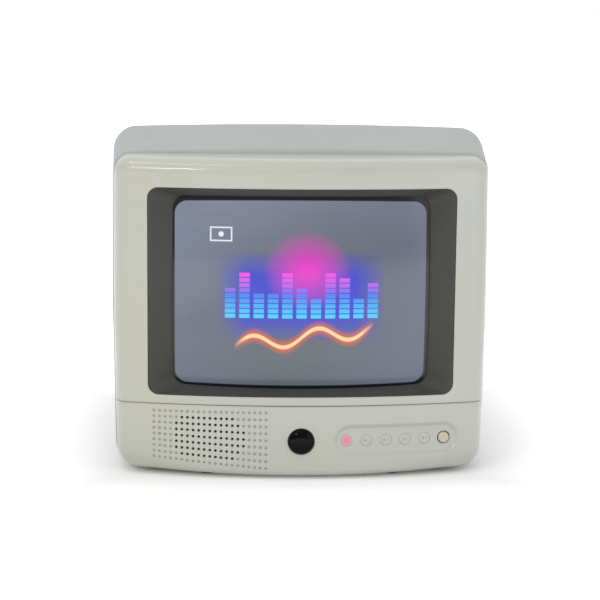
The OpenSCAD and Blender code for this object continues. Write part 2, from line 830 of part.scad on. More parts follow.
// Smooth curve through a list of points
function spline(p, i, t) =
    let (n = len(p) - 1, a = p[max(i - 1, 0)], b = p[i], c = p[i + 1], d = p[min(i + 2, n)])
    0.5 * (2 * b + (c - a) * t + (2 * a - 5 * b + 4 * c - d) * t * t
        + (3 * b - a - 3 * c + d) * t * t * t);

module sweep(route, r, steps = 5, sides = 8) {
    path = concat([for (i = [0:len(route) - 2], k = [0:steps - 1]) spline(route, i, k / steps)],
        [route[len(route) - 1]]);
    last = len(path) - 1;
    rings = [for (j = [0:last])
        let (t = path[min(j + 1, last)] - path[max(j - 1, 0)], u = t / norm(t),
             side = cross(u, abs(u[2]) > 0.9 ? [1, 0, 0] : [0, 0, 1]),
             v = side / norm(side), w = cross(v, u))
        [for (k = [0:sides - 1]) let (a = 360 * k / sides)
            path[j] + r * (v * cos(a) + w * sin(a))]];
    skin(rings);
}

flyback_x = -72;
flyback_s = 134;
flyback_d = board_front + flyback_s * layout_scale;
flyback_w = 36;
flyback_l = 38;
flyback_h = 58;
module anode_lead() {
    top = board_top + flyback_h;
    start_z = tube_z + panel_h / 2 - 2;
    color("firebrick") sweep([
        [anode_x, at(panel_end + 33.5), start_z],
        [anode_x, at(panel_end + 39), start_z + 6],
        [10, at(panel_end + 54), start_z + 8],
        [-20, at(panel_end + 74), start_z + 2],
        [-48, at(panel_end + 94), start_z - 22],
        [-66, at(panel_end + 112), start_z - 66],
        [flyback_x, at(flyback_d - 6), top + 26],
        [flyback_x, at(flyback_d), top + 12],
        [flyback_x, at(flyback_d), top + 8],
        [flyback_x, at(flyback_d), top + 4.4]], 2.2);
}

// Closed loop of round section that follows a rounded rectangle
module loop(w, h, r, d, thick, sides = 8) {
    centre = outline(w, h, r, 6, 6);
    wide = outline(w + 2, h + 2, r + 1, 6, 6);
    sections = [for (i = [0:len(centre) - 1])
        let (c = centre[i], u = wide[i] - c, n = u / norm(u))
        [for (k = [0:sides - 1]) let (a = 360 * k / sides)
            [c[0] + n[0] * thick * cos(a), at(d) + thick * sin(a),
             c[1] + n[1] * thick * cos(a) + tube_z]]];
    skin(sections, joined = true);
}

module degauss_coil() {
    coil_r = 3.6;
    grow = 2 * (coil_r + 0.7);
    color("dimgray") loop(panel_w + grow, panel_h + grow, panel_r + grow / 2,
        band_d1 + 0.6 + coil_r, coil_r);
}

module ground_braid() {
    braid_r = 1.3;
    f = funnel_ring(1);
    grow = 2 * (braid_r + 0.8);
    color("silver") loop(f[1] + grow, f[2] + grow, f[3] + grow / 2,
        panel_end + f[0] * funnel_len, braid_r);
}

socket_d0 = neck_d1 + 3;
neck_board_d = socket_d0 + 12.4;
module neck_socket() {
    color("ivory") difference() {
        rod(0, tube_z, 15, socket_d0, neck_board_d - 0.1);
        rod(0, tube_z, 3.8, socket_d0 - 1, neck_board_d + 1);
        for (k = [0:8])
            rod(pin_ring_r * cos(36 * k), tube_z + pin_ring_r * sin(36 * k), 0.75,
                socket_d0 - 1, neck_board_d - 3, $fn = 16);
    }
}

module neck_board() {
    w = 68;
    h = 62;
    color("peru") difference() {
        union() {
            plate(neck_board_d, neck_board_d + board_t)
                translate([0, tube_z - 6]) square([w, h], center = true);
            // Parts soldered on the board
            for (x = [-26, -15, 15, 26])
                rod(x, tube_z - 28, 4, neck_board_d - 11, neck_board_d + 0.1);
            block([-28, neck_board_d - 9, tube_z + 8], [-22, neck_board_d + 0.1, tube_z + 20]);
            block([22, neck_board_d - 9, tube_z + 8], [28, neck_board_d + 0.1, tube_z + 20]);
        }
        rod(0, tube_z, 4.4, neck_board_d - 1, neck_board_d + board_t + 1);
    }
}

// ---------------------------------------------------------------- main board

module main_board() {
    color("peru") translate([0, 0, board_z]) linear_extrude(board_t) polygon([
        [-board_w / 2, at(board_front)], [board_w / 2, at(board_front)],
        [board_w / 2, at(board_step_d)], [board_rear_w / 2, at(board_step_d + 22)],
        [board_rear_w / 2, at(board_end)], [-board_rear_w / 2, at(board_end)],
        [-board_rear_w / 2, at(board_step_d + 22)], [-board_w / 2, at(board_step_d)]]);
}

// Place at x across the main board and s behind its front edge
module on_board(x, s) {
    translate([x, at(board_front + s * layout_scale), board_top]) children();
}

module flyback_transformer() {
    color("dimgray") on_board(flyback_x, flyback_s) {
        translate([-flyback_w / 2, -flyback_l / 2, 0]) cube([flyback_w, flyback_l, flyback_h]);
        translate([0, 0, flyback_h - 1]) cylinder(h = 5, r = 7);
        // Ferrite limb beside the winding
        translate([flyback_w / 2 - 1, -6, 6]) cube([11, 12, flyback_h - 16]);
        translate([-12, flyback_l / 2 - 1, 8]) cube([24, 8, 40]);
    }
}

knob_r = 5;
module adjuster(z) {
    d = flyback_d + flyback_l / 2 + 7.3;
    difference() {
        union() {
            rod(flyback_x, board_top + z, knob_r, d, d + 7);
            rod(flyback_x, board_top + z, 3, d + 6.9, d + 10);
        }
        block([flyback_x - 4, d + 8.6, board_top + z - 0.5],
            [flyback_x + 4, d + 11, board_top + z + 0.5]);
    }
}

module focus_knob() color("ivory") adjuster(38);
module screen_knob() color("ivory") adjuster(20);

module power_transformer() {
    color("goldenrod") on_board(-58, 50) {
        translate([-17, -17, 0]) cube([34, 34, 5]);
        translate([-13, -13, 4]) cube([26, 26, 20]);
        translate([-17, -9, 8]) cube([34, 18, 12]);
        translate([-17, -17, 23]) cube([34, 34, 4]);
    }
}

module capacitor(r, h) {
    difference() {
        cylinder(h = h, r = r);
        translate([0, 0, 2]) rotate_extrude() translate([r + 0.6, 0]) circle(1.2, $fn = 24);
    }
}

module main_capacitor() {
    color("midnightblue") on_board(-94, 28) capacitor(12.5, 32);
}

// Small electrolytic capacitors: [x, distance behind the board's front edge, radius, height]
small_cans = [
    [-30, 22, 5, 14], [-16, 30, 4, 12], [4, 18, 5, 14], [20, 34, 4, 11],
    [-24, 78, 5, 18], [0, 88, 6.5, 20], [18, 80, 5, 14], [40, 66, 4, 12],
    [-40, 98, 5, 14], [-22, 138, 6.5, 22], [-4, 152, 5, 14], [14, 144, 4, 11],
    [34, 128, 5, 14], [58, 66, 4, 11], [72, 50, 5, 14], [-44, 174, 5, 14],
    [10, 174, 4, 11], [44, 170, 4, 11]];

module small_capacitors() {
    color("midnightblue") for (c = small_cans) on_board(c[0], c[1]) capacitor(c[2], c[3]);
}

heat_x = -22;
heat_s = 110;
module heat_sink() {
    color("silver") on_board(heat_x, heat_s) {
        translate([-30, 0, 0]) cube([60, 3, 40]);
        for (x = [-30:10:20]) translate([x, 2.9, 0]) cube([2, 10, 38]);
    }
}

module power_transistors() {
    color("dimgray") for (x = [-18, 12]) on_board(heat_x + x, heat_s) {
        translate([-8, -5.2, 12]) cube([16, 5, 20]);
        for (k = [-1:1]) translate([k * 5.2 - 0.6, -3.3, 0]) cube([1.2, 0.8, 12.1]);
    }
}

tuner_l = 46;
tuner_w = 42;
tuner_h = 38;
tuner_d1 = board_end + 2;
module tuner_module() {
    color("silver") difference() {
        block([aerial_x - tuner_w / 2, tuner_d1 - tuner_l, board_top],
            [aerial_x + tuner_w / 2, tuner_d1, board_top + tuner_h]);
        for (x = [-12, 0, 12])
            block([aerial_x + x - 3, tuner_d1 - 30, board_top + tuner_h - 0.6],
                [aerial_x + x + 3, tuner_d1 - 14, board_top + tuner_h + 1]);
    }
}

contact_r = 1.2;
module aerial_socket() {
    end = rear_d + socket_proud;
    color("silver") {
        difference() {
            rod(aerial_x, aerial_z, shell_r + 1.2, tuner_d1, end);
            rod(aerial_x, aerial_z, shell_r, tuner_d1 + 3, end + 1);
        }
        difference() {
            rod(aerial_x, aerial_z, 2, tuner_d1 + 2.9, end - 1.5);
            rod(aerial_x, aerial_z, contact_r, tuner_d1 + 6, end);
        }
    }
}

module scart_socket() {
    slots = 10;
    color("dimgray") difference() {
        union() {
            block([scart_x - scart_w / 2, board_end - 18, scart_z - scart_h / 2],
                [scart_x + scart_w / 2, rear_d - 0.5, scart_z + scart_h / 2]);
            block([scart_x - scart_w / 2 + 2, board_end - 18, board_top],
                [scart_x + scart_w / 2 - 2, board_end - 8, scart_z]);
        }
        for (k = [0:slots - 1], s = [-1, 1])
            block([scart_x + (k - 4.5) * 4.2 + s - 0.5, rear_d - 12, scart_z + s * 3.4 - 2],
                [scart_x + (k - 4.5) * 4.2 + s + 0.5, rear_d + 1, scart_z + s * 3.4 + 2]);
    }
}

jack_r = 1.8;
module headphone_socket() {
    color("dimgray") difference() {
        union() {
            block([phone_x - 6, board_end - 14, board_top], [phone_x + 6, board_end + 8, board_top + 14]);
            rod(phone_x, phone_z, 4, board_end + 7.9, rear_d - 0.2);
        }
        rod(phone_x, phone_z, jack_r, board_end - 6, rear_d + 1);
    }
}

module mains_gland() {
    color("dimgray") difference() {
        union() {
            rod(gland_x, gland_z, gland_r, rear_d - 10, rear_d + 1);
            rod(gland_x, gland_z, gland_r + 2, rear_d - 10, rear_d - 7);
        }
        block([gland_x - 3.6, rear_d - 11, gland_z - 1.8], [gland_x + 3.6, rear_d + 2, gland_z + 1.8]);
    }
}

switch_d = board_front + 6;
switch_w = 18;
switch_side = 5;
module mains_switch() {
    color("dimgray") difference() {
        block([power_x + switch_side - switch_w, switch_d, board_top],
            [power_x + switch_side, switch_d + 24, control_z + 8]);
        block([power_x - 3.2 - slide_gap, switch_d - 1, control_z - 3.2 - slide_gap],
            [power_x + 3.2 + slide_gap, switch_d + 14, control_z + 3.2 + slide_gap]);
    }
}

plunger_d0 = switch_d - power_travel - 4;
module switch_plunger() {
    color("ivory")
        block([power_x - 3.2, plunger_d0, control_z - 3.2],
            [power_x + 3.2, switch_d + 14 - power_travel - 1, control_z + 3.2]);
}

module filter_choke() {
    color("chocolate") on_board(-98, 66) {
        translate([-11, -9, 0]) cube([22, 18, 3]);
        translate([0, 0, 13]) rotate([90, 0, 0]) rotate_extrude() translate([8, 0]) circle(3.4);
        translate([-6, -3, 2]) cube([12, 6, 3]);
    }
}

module fuse() {
    color("silver") on_board(-112, 12) {
        for (y = [-10, 8]) difference() {
            translate([-3.6, y, 0]) cube([7.2, 2.4, 9]);
            translate([0, y - 1, 5.4]) rotate([-90, 0, 0]) cylinder(h = 5, r = 2.6);
            translate([-2, y - 1, 5.4]) cube([4, 5, 5]);
        }
        translate([0, -10, 5.4]) rotate([-90, 0, 0]) cylinder(h = 20.4, r = 2.56);
    }
}

// Integrated circuits: [x, distance behind the board's front edge, width, length]
chip_places = [[48, 94, 46, 12], [52, 34, 34, 9], [40, 148, 20, 8], [-12, 48, 20, 8]];
module chips() {
    color("dimgray") for (c = chip_places) on_board(c[0], c[1]) {
        translate([-c[2] / 2, -c[3] / 2, 0.8]) cube([c[2], c[3], 3.6]);
        for (x = [-c[2] / 2 + 2:2.54:c[2] / 2 - 2], s = [-1, 1])
            translate([x - 0.3, s * (c[3] / 2 + 0.2) - 0.3, 0]) cube([0.6, 0.6, 2.4]);
    }
}

// ---------------------------------------------------------------- controls

// Cap whose face is flush with the recess's floor, with a collar and a stem behind
module control_cap(x, r, face, stem_end) {
    d = fascia_face(x) + face;
    intersection() {
        rod(x, control_z, r, d - 3, d + 8);
        behind_fascia(face);
    }
    rod(x, control_z, r + 1.1, d + floor_t + 1.7, d + floor_t + 1.7 + collar_t);
    rod(x, control_z, 2, d + floor_t + 2, stem_end);
}

tact_d = control_board_d - tact_h;
stem_d = tact_d - button_travel - 0.2;

module control_button(k) {
    color("gainsboro") control_cap(control_at(k), button_dia / 2, recess_depth, stem_d);
}

module program_down_button() control_button(1);
module program_up_button() control_button(2);
module volume_down_button() control_button(3);
module volume_up_button() control_button(4);

module standby_lamp() {
    x = control_at(0);
    d = fascia_face(x) + recess_depth;
    color("hotpink") {
        intersection() {
            rod(x, control_z, button_dia / 2, d - 3, d + 8);
            behind_fascia(recess_depth);
        }
        rod(x, control_z, lamp_r, d + 7.9, control_board_d - 0.05);
    }
}

module power_button() {
    d = fascia_face(power_x) + recess_depth - 1;
    color("ivory") {
        rod(power_x, control_z, power_dia / 2 - 0.5, d, d + 0.6, power_dia / 2);
        rod(power_x, control_z, power_dia / 2, d + 0.5, d + 10);
        rod(power_x, control_z, 2.6, d + 9, plunger_d0 - 0.05);
    }
}

module ir_window() {
    r = ir_dia / 2;
    ball = (r * r + ir_proud * ir_proud) / (2 * ir_proud);
    color("black") {
        intersection() {
            translate([0, at(-ir_proud) + ball, control_z]) sphere(ball, $fn = 96);
            rod(0, control_z, r, -ir_proud - 1, 1);
        }
        rod(0, control_z, r, 0.4, 4.5);
        rod(0, control_z, r + 2, wall + 0.8, 4.5);
    }
}

module ir_receiver() {
    color("dimgray") {
        block([-5, 12, control_z - 6], [5, 18, control_z + 6]);
        rod(0, control_z, 3, 10, 12.1);
        block([-14, 18, control_z - 10], [14, 18 + board_t, control_z + 10]);
        for (s = [-1, 1]) rod(s * 11, control_z + 7, 1.8, 5.8, 18.1);
    }
}

module control_board() {
    x0 = control_at(0) - 12;
    x1 = control_at(4) + 13;
    color("peru") difference() {
        block([x0, control_board_d, control_z - 13], [x1, control_board_d + board_t, control_z + 22]);
        block([power_x - 6, control_board_d - 1, control_z - 14],
            [x1 + 1, control_board_d + board_t + 1, control_z + 6]);
    }
}

module tact_switches() {
    color("dimgray") for (k = [1:4]) {
        block([control_at(k) - 3, control_board_d - 3.5, control_z - 3],
            [control_at(k) + 3, control_board_d, control_z + 3]);
        rod(control_at(k), control_z, 1.7, tact_d, control_board_d - 3.4);
    }
}

// ---------------------------------------------------------------- speaker

module oval(hw, hh) {
    for (s = [-1, 1]) translate([s * (hw - hh), 0]) circle(hh);
    square([2 * (hw - hh), 2 * hh], center = true);
}

module speaker_plate(d0, d1) {
    plate(d0, d1) translate([speaker_x, speaker_z]) children();
}

magnet_r = 16;
module speaker_basket() {
    color("darkgray") difference() {
        union() {
            speaker_plate(speaker_d, speaker_d + 1.5) oval(speaker_hw, speaker_hh);
            speaker_plate(speaker_d + 1.4, speaker_d + 7) oval(speaker_hw - 3, speaker_hh - 3);
            rod(speaker_x, speaker_z, speaker_hh - 4, speaker_d + 6.9, speaker_d + 14);
        }
        speaker_plate(speaker_d - 1, speaker_d + 5.5) oval(speaker_hw - 4.5, speaker_hh - 4.5);
        rod(speaker_x, speaker_z, speaker_hh - 5.5, speaker_d + 5, speaker_d + 12.5);
    }
}

module speaker_cone() {
    color("dimgray") {
        difference() {
            speaker_plate(speaker_d + 0.2, speaker_d + 5.2) oval(speaker_hw - 4.8, speaker_hh - 4.8);
            translate([speaker_x, at(speaker_d) - 0.1, speaker_z]) rotate([-90, 0, 0])
                cylinder(h = 4.6, r1 = speaker_hh - 6, r2 = 8);
        }
        rod(speaker_x, speaker_z, 8, speaker_d + 5.1, speaker_d + 12);
    }
}

module speaker_magnet() {
    color("darkgray") {
        rod(speaker_x, speaker_z, magnet_r, speaker_d + 14, speaker_d + 23);
        rod(speaker_x, speaker_z, magnet_r - 4, speaker_d + 22.9, speaker_d + 26);
    }
}

// ---------------------------------------------------------------- nodes

front_cabinet();
lower_fascia();
screen_surround();
program_down_button();
program_up_button();
volume_down_button();
volume_up_button();
power_button();
ir_window();
standby_lamp();
rear_cabinet();
foot_front_left();
foot_front_right();
foot_rear_left();
foot_rear_right();
cabinet_screws();
crt_panel();
shadow_mask();
crt_funnel();
crt_neck();
crt_base();
rim_band();
crt_screws();
yoke_former();
yoke_core();
yoke_coils();
yoke_clamp();
magnet_rings();
anode_cap();
anode_lead();
degauss_coil();
ground_braid();
neck_board();
neck_socket();
main_board();
flyback_transformer();
focus_knob();
screen_knob();
power_transformer();
main_capacitor();
small_capacitors();
heat_sink();
power_transistors();
tuner_module();
aerial_socket();
scart_socket();
headphone_socket();
mains_switch();
switch_plunger();
filter_choke();
fuse();
chips();
control_board();
tact_switches();
ir_receiver();
speaker_basket();
speaker_cone();
speaker_magnet();
mains_gland();
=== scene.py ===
"""Looks of a small portable colour television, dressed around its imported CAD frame.

Metres. The front faces -Y, +Z is up. A depth is measured back from the foremost
line of the fascia, and at(depth) turns it into a Y coordinate.
"""

import json
import math

import bmesh
import bpy
import numpy as np
from mathutils import Matrix, Vector
from mathutils.geometry import delaunay_2d_cdt


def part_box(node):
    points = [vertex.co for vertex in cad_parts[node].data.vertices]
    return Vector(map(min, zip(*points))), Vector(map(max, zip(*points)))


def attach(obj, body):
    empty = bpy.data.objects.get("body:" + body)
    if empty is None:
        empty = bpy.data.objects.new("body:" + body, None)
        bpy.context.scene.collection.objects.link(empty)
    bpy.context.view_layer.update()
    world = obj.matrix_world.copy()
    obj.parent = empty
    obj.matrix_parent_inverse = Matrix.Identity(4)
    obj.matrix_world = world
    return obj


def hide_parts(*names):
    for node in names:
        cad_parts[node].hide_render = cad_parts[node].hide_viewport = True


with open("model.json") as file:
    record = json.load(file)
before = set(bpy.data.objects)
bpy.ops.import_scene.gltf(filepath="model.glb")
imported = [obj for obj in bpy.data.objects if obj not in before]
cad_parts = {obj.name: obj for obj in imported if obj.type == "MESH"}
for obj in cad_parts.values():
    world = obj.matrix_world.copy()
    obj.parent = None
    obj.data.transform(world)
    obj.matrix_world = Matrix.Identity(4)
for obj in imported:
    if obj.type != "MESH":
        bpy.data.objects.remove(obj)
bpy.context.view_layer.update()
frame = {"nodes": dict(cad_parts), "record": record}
MM = 0.001

# ---- measures

FASCIA_LOW, FASCIA_HIGH = (Vector(p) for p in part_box("lower_fascia"))
FRONT_HIGH = Vector(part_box("front_cabinet")[1])
HOOD_HIGH = Vector(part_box("rear_cabinet")[1])
RING_LOW, RING_HIGH = (Vector(p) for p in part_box("screen_surround"))
GLASS_LOW, GLASS_HIGH = (Vector(p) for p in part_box("crt_panel"))
DOME_LOW, DOME_HIGH = (Vector(p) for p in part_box("ir_window"))

FRONT_Y = FASCIA_LOW.y
BOTTOM = FASCIA_LOW.z
SEAM = FASCIA_HIGH.z
FRAME_HW = FRONT_HIGH.x
FRAME_TOP = FRONT_HIGH.z
FRAME_D = FRONT_HIGH.y - FRONT_Y
HOOD_TOP = HOOD_HIGH.z
HOOD_HW = HOOD_HIGH.x
LIP_HW = HOOD_HW - 2.5 * MM
REAR_D = HOOD_HIGH.y - FRONT_Y
TUBE_Z = (GLASS_LOW.z + GLASS_HIGH.z) / 2
WALL = 2.6 * MM
SEAM_GAP = 0.3 * MM

FRAME_BOW = 550 * MM
FRAME_SET = 1.2 * MM
FASCIA_BOW = 480 * MM
GLASS_BOW = 470 * MM
GLASS_SET = GLASS_LOW.y - FRONT_Y
GLASS_MARGIN = 10.6 * MM
GLASS_CORNER = 22 * MM
GLASS_EDGE = 5 * MM
FACE_TOP = FRAME_TOP - 2.5 * MM
SIDE_TAPER = 1.8 * MM
TOP_TAPER = 0.9 * MM
LOW_CORNER = 17 * MM
TOP_CORNER = 12 * MM
SIDE_ROLL = 11 * MM
TOP_ROLL = 9 * MM
UNDER_ROLL = 4 * MM
FRAME_LIP = 0.9 * MM
FASCIA_LIP = 1.3 * MM
BELLY_DROP = 1.4 * MM

RING_FLANGE = 4 * MM
OPENING_HW = RING_HIGH.x - RING_FLANGE
OPENING_LOW = RING_LOW.z + RING_FLANGE
OPENING_HIGH = RING_HIGH.z - RING_FLANGE
OPENING_R = 8.5 * MM
WINDOW_HW = 99.4 * MM
WINDOW_HH = 75.1 * MM
WINDOW_R = 9 * MM
WINDOW_BULGE = 2.4 * MM
WINDOW_TOP_SHARE = 0.2
WINDOW_PINCH = 0.008

CONTROL_Z = 30.3 * MM
CONTROL_PITCH = 15.3 * MM
CONTROL_X = 35.2 * MM
BUTTON_R = 4.5 * MM
BUTTON_RIM = 0.25 * MM
CONTROL_HOLE_WALL = 2.4 * MM
DOME_R = (DOME_HIGH.x - DOME_LOW.x) / 2 - 2 * MM
POWER_R = 4.3 * MM
RECESS_X0 = CONTROL_X - 8.1 * MM
RECESS_X1 = CONTROL_X + 5 * CONTROL_PITCH + 10.5 * MM
RECESS_R = 11.25 * MM
RECESS_DEPTH = 2 * MM
RECESS_RIM = 4 * MM

GRILLE_COLUMNS = 21
GRILLE_ROWS = 9
GRILLE_PITCH = 4.32 * MM
GRILLE_X = 27.1 * MM
GRILLE_Z = 34 * MM
HOLE_R = 1.1 * MM
DIMPLE_DEPTH = 1.3 * MM


def at(depth):
    return FRONT_Y + depth


def control_at(k):
    return CONTROL_X + k * CONTROL_PITCH


def smooth_step(t):
    t = np.clip(t, 0, 1)
    return t * t * (3 - 2 * t)


# ---- surfaces


def sag(x, radius):
    return radius - math.sqrt(radius * radius - x * x)


def frame_depth(x, z):
    """Depth of the front frame's face, the same at every height."""
    return FRAME_SET + sag(x, FRAME_BOW)


def stadium_distance(x, z):
    """Distance outside the outline of the recess round the controls."""
    x0 = RECESS_X0 + RECESS_R
    x1 = RECESS_X1 - RECESS_R
    near = min(max(x, x0), x1)
    return math.hypot(x - near, z - CONTROL_Z) - RECESS_R


def bottom_at(x):
    """Height of the fascia's lower edge, which hangs a little at the middle."""
    return BOTTOM - BELLY_DROP * max(0, 1 - (x / (105 * MM)) ** 2)


def belly_edge(x):
    """Height at which the fascia's belly turns under."""
    return bottom_at(x) - 1 * MM + 7 * MM * (abs(x) / (105 * MM)) ** 2.2


def fascia_depth(x, z):
    """Depth of the fascia's face, its recess and the skirt below its belly."""
    under = belly_edge(x) + 1.5 * MM - z
    soft = 1.6 * MM
    skirt = 0.62 * soft * math.log1p(math.exp(min(under / soft, 30)))
    recess = RECESS_DEPTH * float(smooth_step(0.5 - stadium_distance(x, z) / RECESS_RIM))
    return sag(x, FASCIA_BOW) + skirt + recess


def glass_depth(x, z):
    return GLASS_SET + sag(math.hypot(x, z - TUBE_Z), GLASS_BOW)


def half_width(z, full):
    """Half width of the front mouldings at a height."""
    heights = [BOTTOM + LOW_CORNER, SEAM - 6 * MM, SEAM + 60 * MM, TUBE_Z + 12 * MM, FRAME_TOP - TOP_CORNER]
    insets = [SIDE_TAPER, SIDE_TAPER / 2, 0, 0, TOP_TAPER]
    return full - float(np.interp(z, heights, insets))


# ---- mesh tools


def arc(cx, cz, radius, start, end, steps):
    angles = np.radians(np.linspace(start, end, steps + 1))
    return [(cx + radius * math.cos(a), cz + radius * math.sin(a)) for a in angles]


def line(a, b, steps):
    """Points from a to b without b."""
    return [tuple(a[j] + (b[j] - a[j]) * i / steps for j in range(len(a))) for i in range(steps)]


def rounded_rect(hw, z0, z1, radius, corner=10, side=24):
    """Closed outline in X and Z, counter-clockwise from the right-hand side's top."""
    centres = [(hw - radius, z1 - radius), (radius - hw, z1 - radius),
               (radius - hw, z0 + radius), (hw - radius, z0 + radius)]
    points = []
    for k, (cx, cz) in enumerate(centres):
        points += arc(cx, cz, radius, 90 * k, 90 * k + 90, corner)
        after = centres[(k + 1) % 4]
        turn = math.radians(90 * k + 90)
        start = points[-1]
        end = (after[0] + radius * math.cos(turn), after[1] + radius * math.sin(turn))
        points += line(start, end, side)[1:]
    return points


def window_outline(hw, z0, z1, radius):
    """Outline of the picture window: a rounded rectangle whose sides bulge."""
    middle = (z0 + z1) / 2
    points = []
    for x, z in rounded_rect(hw, z0, z1, radius, 12, 24):
        across, up = x / hw, (z - middle) / (z1 - middle)
        rise = WINDOW_BULGE * across * across * max(0, abs(up) - 0.5) * 2
        rise *= 1 if up < 0 else WINDOW_TOP_SHARE
        points.append((x * (1 - WINDOW_PINCH * up * up), z - math.copysign(rise, up)))
    return points


def circle(cx, cz, radius, steps):
    return [(cx + radius * math.cos(a), cz + radius * math.sin(a))
            for a in (2 * math.pi * i / steps for i in range(steps))]


def shift(loop, amount):
    """The closed loop moved outwards by amount along its normals."""
    pts = np.array(loop)
    tangent = np.roll(pts, -1, 0) - np.roll(pts, 1, 0)
    tangent /= np.linalg.norm(tangent, axis=1)[:, None]
    area = np.sum(pts[:, 0] * np.roll(pts[:, 1], -1) - np.roll(pts[:, 0], -1) * pts[:, 1])
    normal = np.stack([tangent[:, 1], -tangent[:, 0]], 1) * (1 if area > 0 else -1)
    return [tuple(p) for p in pts + normal * amount]


class Builder:
    """Collects the faces of one piece in a bmesh."""

    def __init__(self):
        self.bm = bmesh.new()

    def grid(self, rows, closed=False, capped=(False, False)):
        """Quads between rows of points, each row closed on itself or open."""
        rings = [[self.bm.verts.new(p) for p in row] for row in rows]
        count = len(rings[0])
        for a, b in zip(rings, rings[1:]):
            for i in range(count if closed else count - 1):
                j = (i + 1) % count
                self.face([a[i], a[j], b[j], b[i]])
        if capped[0]:
            self.face(rings[0])
        if capped[1]:
            self.face(rings[-1])
        return rings

    def face(self, corners):
        distinct = list(dict.fromkeys(corners))
        if len(distinct) > 2:
            self.bm.faces.new(distinct)

    def lathe(self, profile, centre, axis, steps=48):
        """Turned piece: profile is a list of (radius, height along the axis)."""
        axis = Vector(axis)
        side = axis.orthogonal().normalized()
        other = axis.cross(side)
        rows = []
        for radius, height in profile:
            rows.append([Vector(centre) + axis * height
                         + (side * math.cos(a) + other * math.sin(a)) * max(radius, 1e-7)
                         for a in (2 * math.pi * i / steps for i in range(steps))])
        self.grid(rows, closed=True)

    def pierced(self, outer, holes, extra, depth):
        """Sheet over the outline outer, with holes, at depth(x, z).

        A hole is (loop, edge, wall, floor): the loop's edge is eased by edge, its
        wall runs back by wall, and floor says whether it is closed behind.
        """
        loops = [outer] + [shift(h[0], h[1]) for h in holes]
        points, edges = [], []
        for loop in loops:
            start = len(points)
            points += loop
            edges += [(start + i, start + (i + 1) % len(loop)) for i in range(len(loop))]
        points += extra
        out = delaunay_2d_cdt([Vector(p) for p in points], edges, [], 0, 1e-7)
        flat = np.array([tuple(v) for v in out[0]])
        triangles = np.array(out[2])
        kept = triangles[inside(flat[triangles].mean(axis=1), loops)]
        verts = [self.bm.verts.new((x, at(depth(x, z)), z)) for x, z in flat]
        for a, b, c in kept:
            self.face([verts[a], verts[b], verts[c]])
        place = {}
        for index, sources in enumerate(out[3]):
            for source in sources:
                place[source] = verts[index]
        first = len(outer)
        for loop, edge, wall, floor in holes:
            top = [place[first + i] for i in range(len(loop))]
            first += len(loop)
            mean = np.mean([depth(x, z) for x, z in loop]) if floor else None
            rings = [top]
            for back in (edge, wall):
                rings.append([self.bm.verts.new(
                    (x, at((mean if floor and back == wall else depth(x, z)) + back), z))
                    for x, z in loop])
            for a, b in zip(rings, rings[1:]):
                for i in range(len(loop)):
                    j = (i + 1) % len(loop)
                    self.face([a[i], a[j], b[j], b[i]])
            if floor:
                self.face(rings[-1])
        for v in verts:
            if not v.link_faces:
                self.bm.verts.remove(v)

    def finish(self, name, material, body, angle=35, weld=2e-6):
        """Makes the object, welds its parts and turns its faces outwards."""
        bmesh.ops.remove_doubles(self.bm, verts=self.bm.verts, dist=weld)
        bmesh.ops.recalc_face_normals(self.bm, faces=self.bm.faces)
        mesh = bpy.data.meshes.new(name)
        self.bm.to_mesh(mesh)
        self.bm.free()
        mesh.materials.append(material)
        mesh.shade_smooth()
        mesh.set_sharp_from_angle(angle=math.radians(angle))
        piece = bpy.data.objects.new(name, mesh)
        bpy.context.collection.objects.link(piece)
        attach(piece, body)
        return piece


def inside(points, loops):
    """Which points lie within an odd number of the loops."""
    starts = np.concatenate([np.array(loop) for loop in loops])
    ends = np.concatenate([np.roll(np.array(loop), -1, 0) for loop in loops])
    result = np.zeros(len(points), bool)
    for start in range(0, len(points), 2000):
        px = points[start:start + 2000, 0][:, None]
        pz = points[start:start + 2000, 1][:, None]
        crosses = (starts[:, 1] > pz) != (ends[:, 1] > pz)
        rise = np.where(crosses, ends[:, 1] - starts[:, 1], 1)
        meet = starts[:, 0] + (pz - starts[:, 1]) / rise * (ends[:, 0] - starts[:, 0])
        result[start:start + 2000] = np.sum(crosses & (px < meet), axis=1) % 2 == 1
    return result


def only_inside(points, loops):
    return [p for p, keep in zip(points, inside(np.array(points), loops)) if keep]


def roll_radii(outline, level_roll):
    """Roll at each point of a front outline: SIDE_ROLL upright, level_roll where it runs level."""
    tangent = np.gradient(np.array(outline), axis=0)
    level = np.abs(tangent[:, 0]) / np.linalg.norm(tangent, axis=1)
    return SIDE_ROLL + (level_roll - SIDE_ROLL) * smooth_step(level)


def rolled_rim(front, back, radii, back_depth, depth, steps=8):
    """Rows from the rear edge of a moulding round its front edge to its face.

    front and back are open outlines of equal length, and radii the roll at each
    of their points.
    """
    pts = np.array(front)
    tangent = np.gradient(pts, axis=0)
    tangent /= np.linalg.norm(tangent, axis=1)[:, None]
    inward = np.stack([-tangent[:, 1], tangent[:, 0]], 1)
    middle = np.array([0, pts[:, 1].mean()])
    if np.sum(inward * (middle - pts)) < 0:
        inward = -inward
    columns = []
    for (x, z), (bx, bz), radius, normal in zip(front, back, radii, inward):
        corner = Vector((x, at(depth(x, z)), z))
        rear = Vector((bx, at(back_depth), bz))
        run = rear - corner
        start = corner + run * min(radius / run.length, 0.9)
        ax, az = x + normal[0] * radius, z + normal[1] * radius
        end = Vector((ax, at(depth(ax, az)), az))
        column = [rear + (start - rear) * k / 4 for k in range(4)]
        for k in range(steps + 1):
            t = k / steps
            weights = ((1 - t) ** 2, 1.42 * t * (1 - t), t * t)
            total = sum(weights)
            column.append((start * weights[0] + corner * weights[1] + end * weights[2]) / total)
        columns.append(column)
    return [list(row) for row in zip(*columns)]


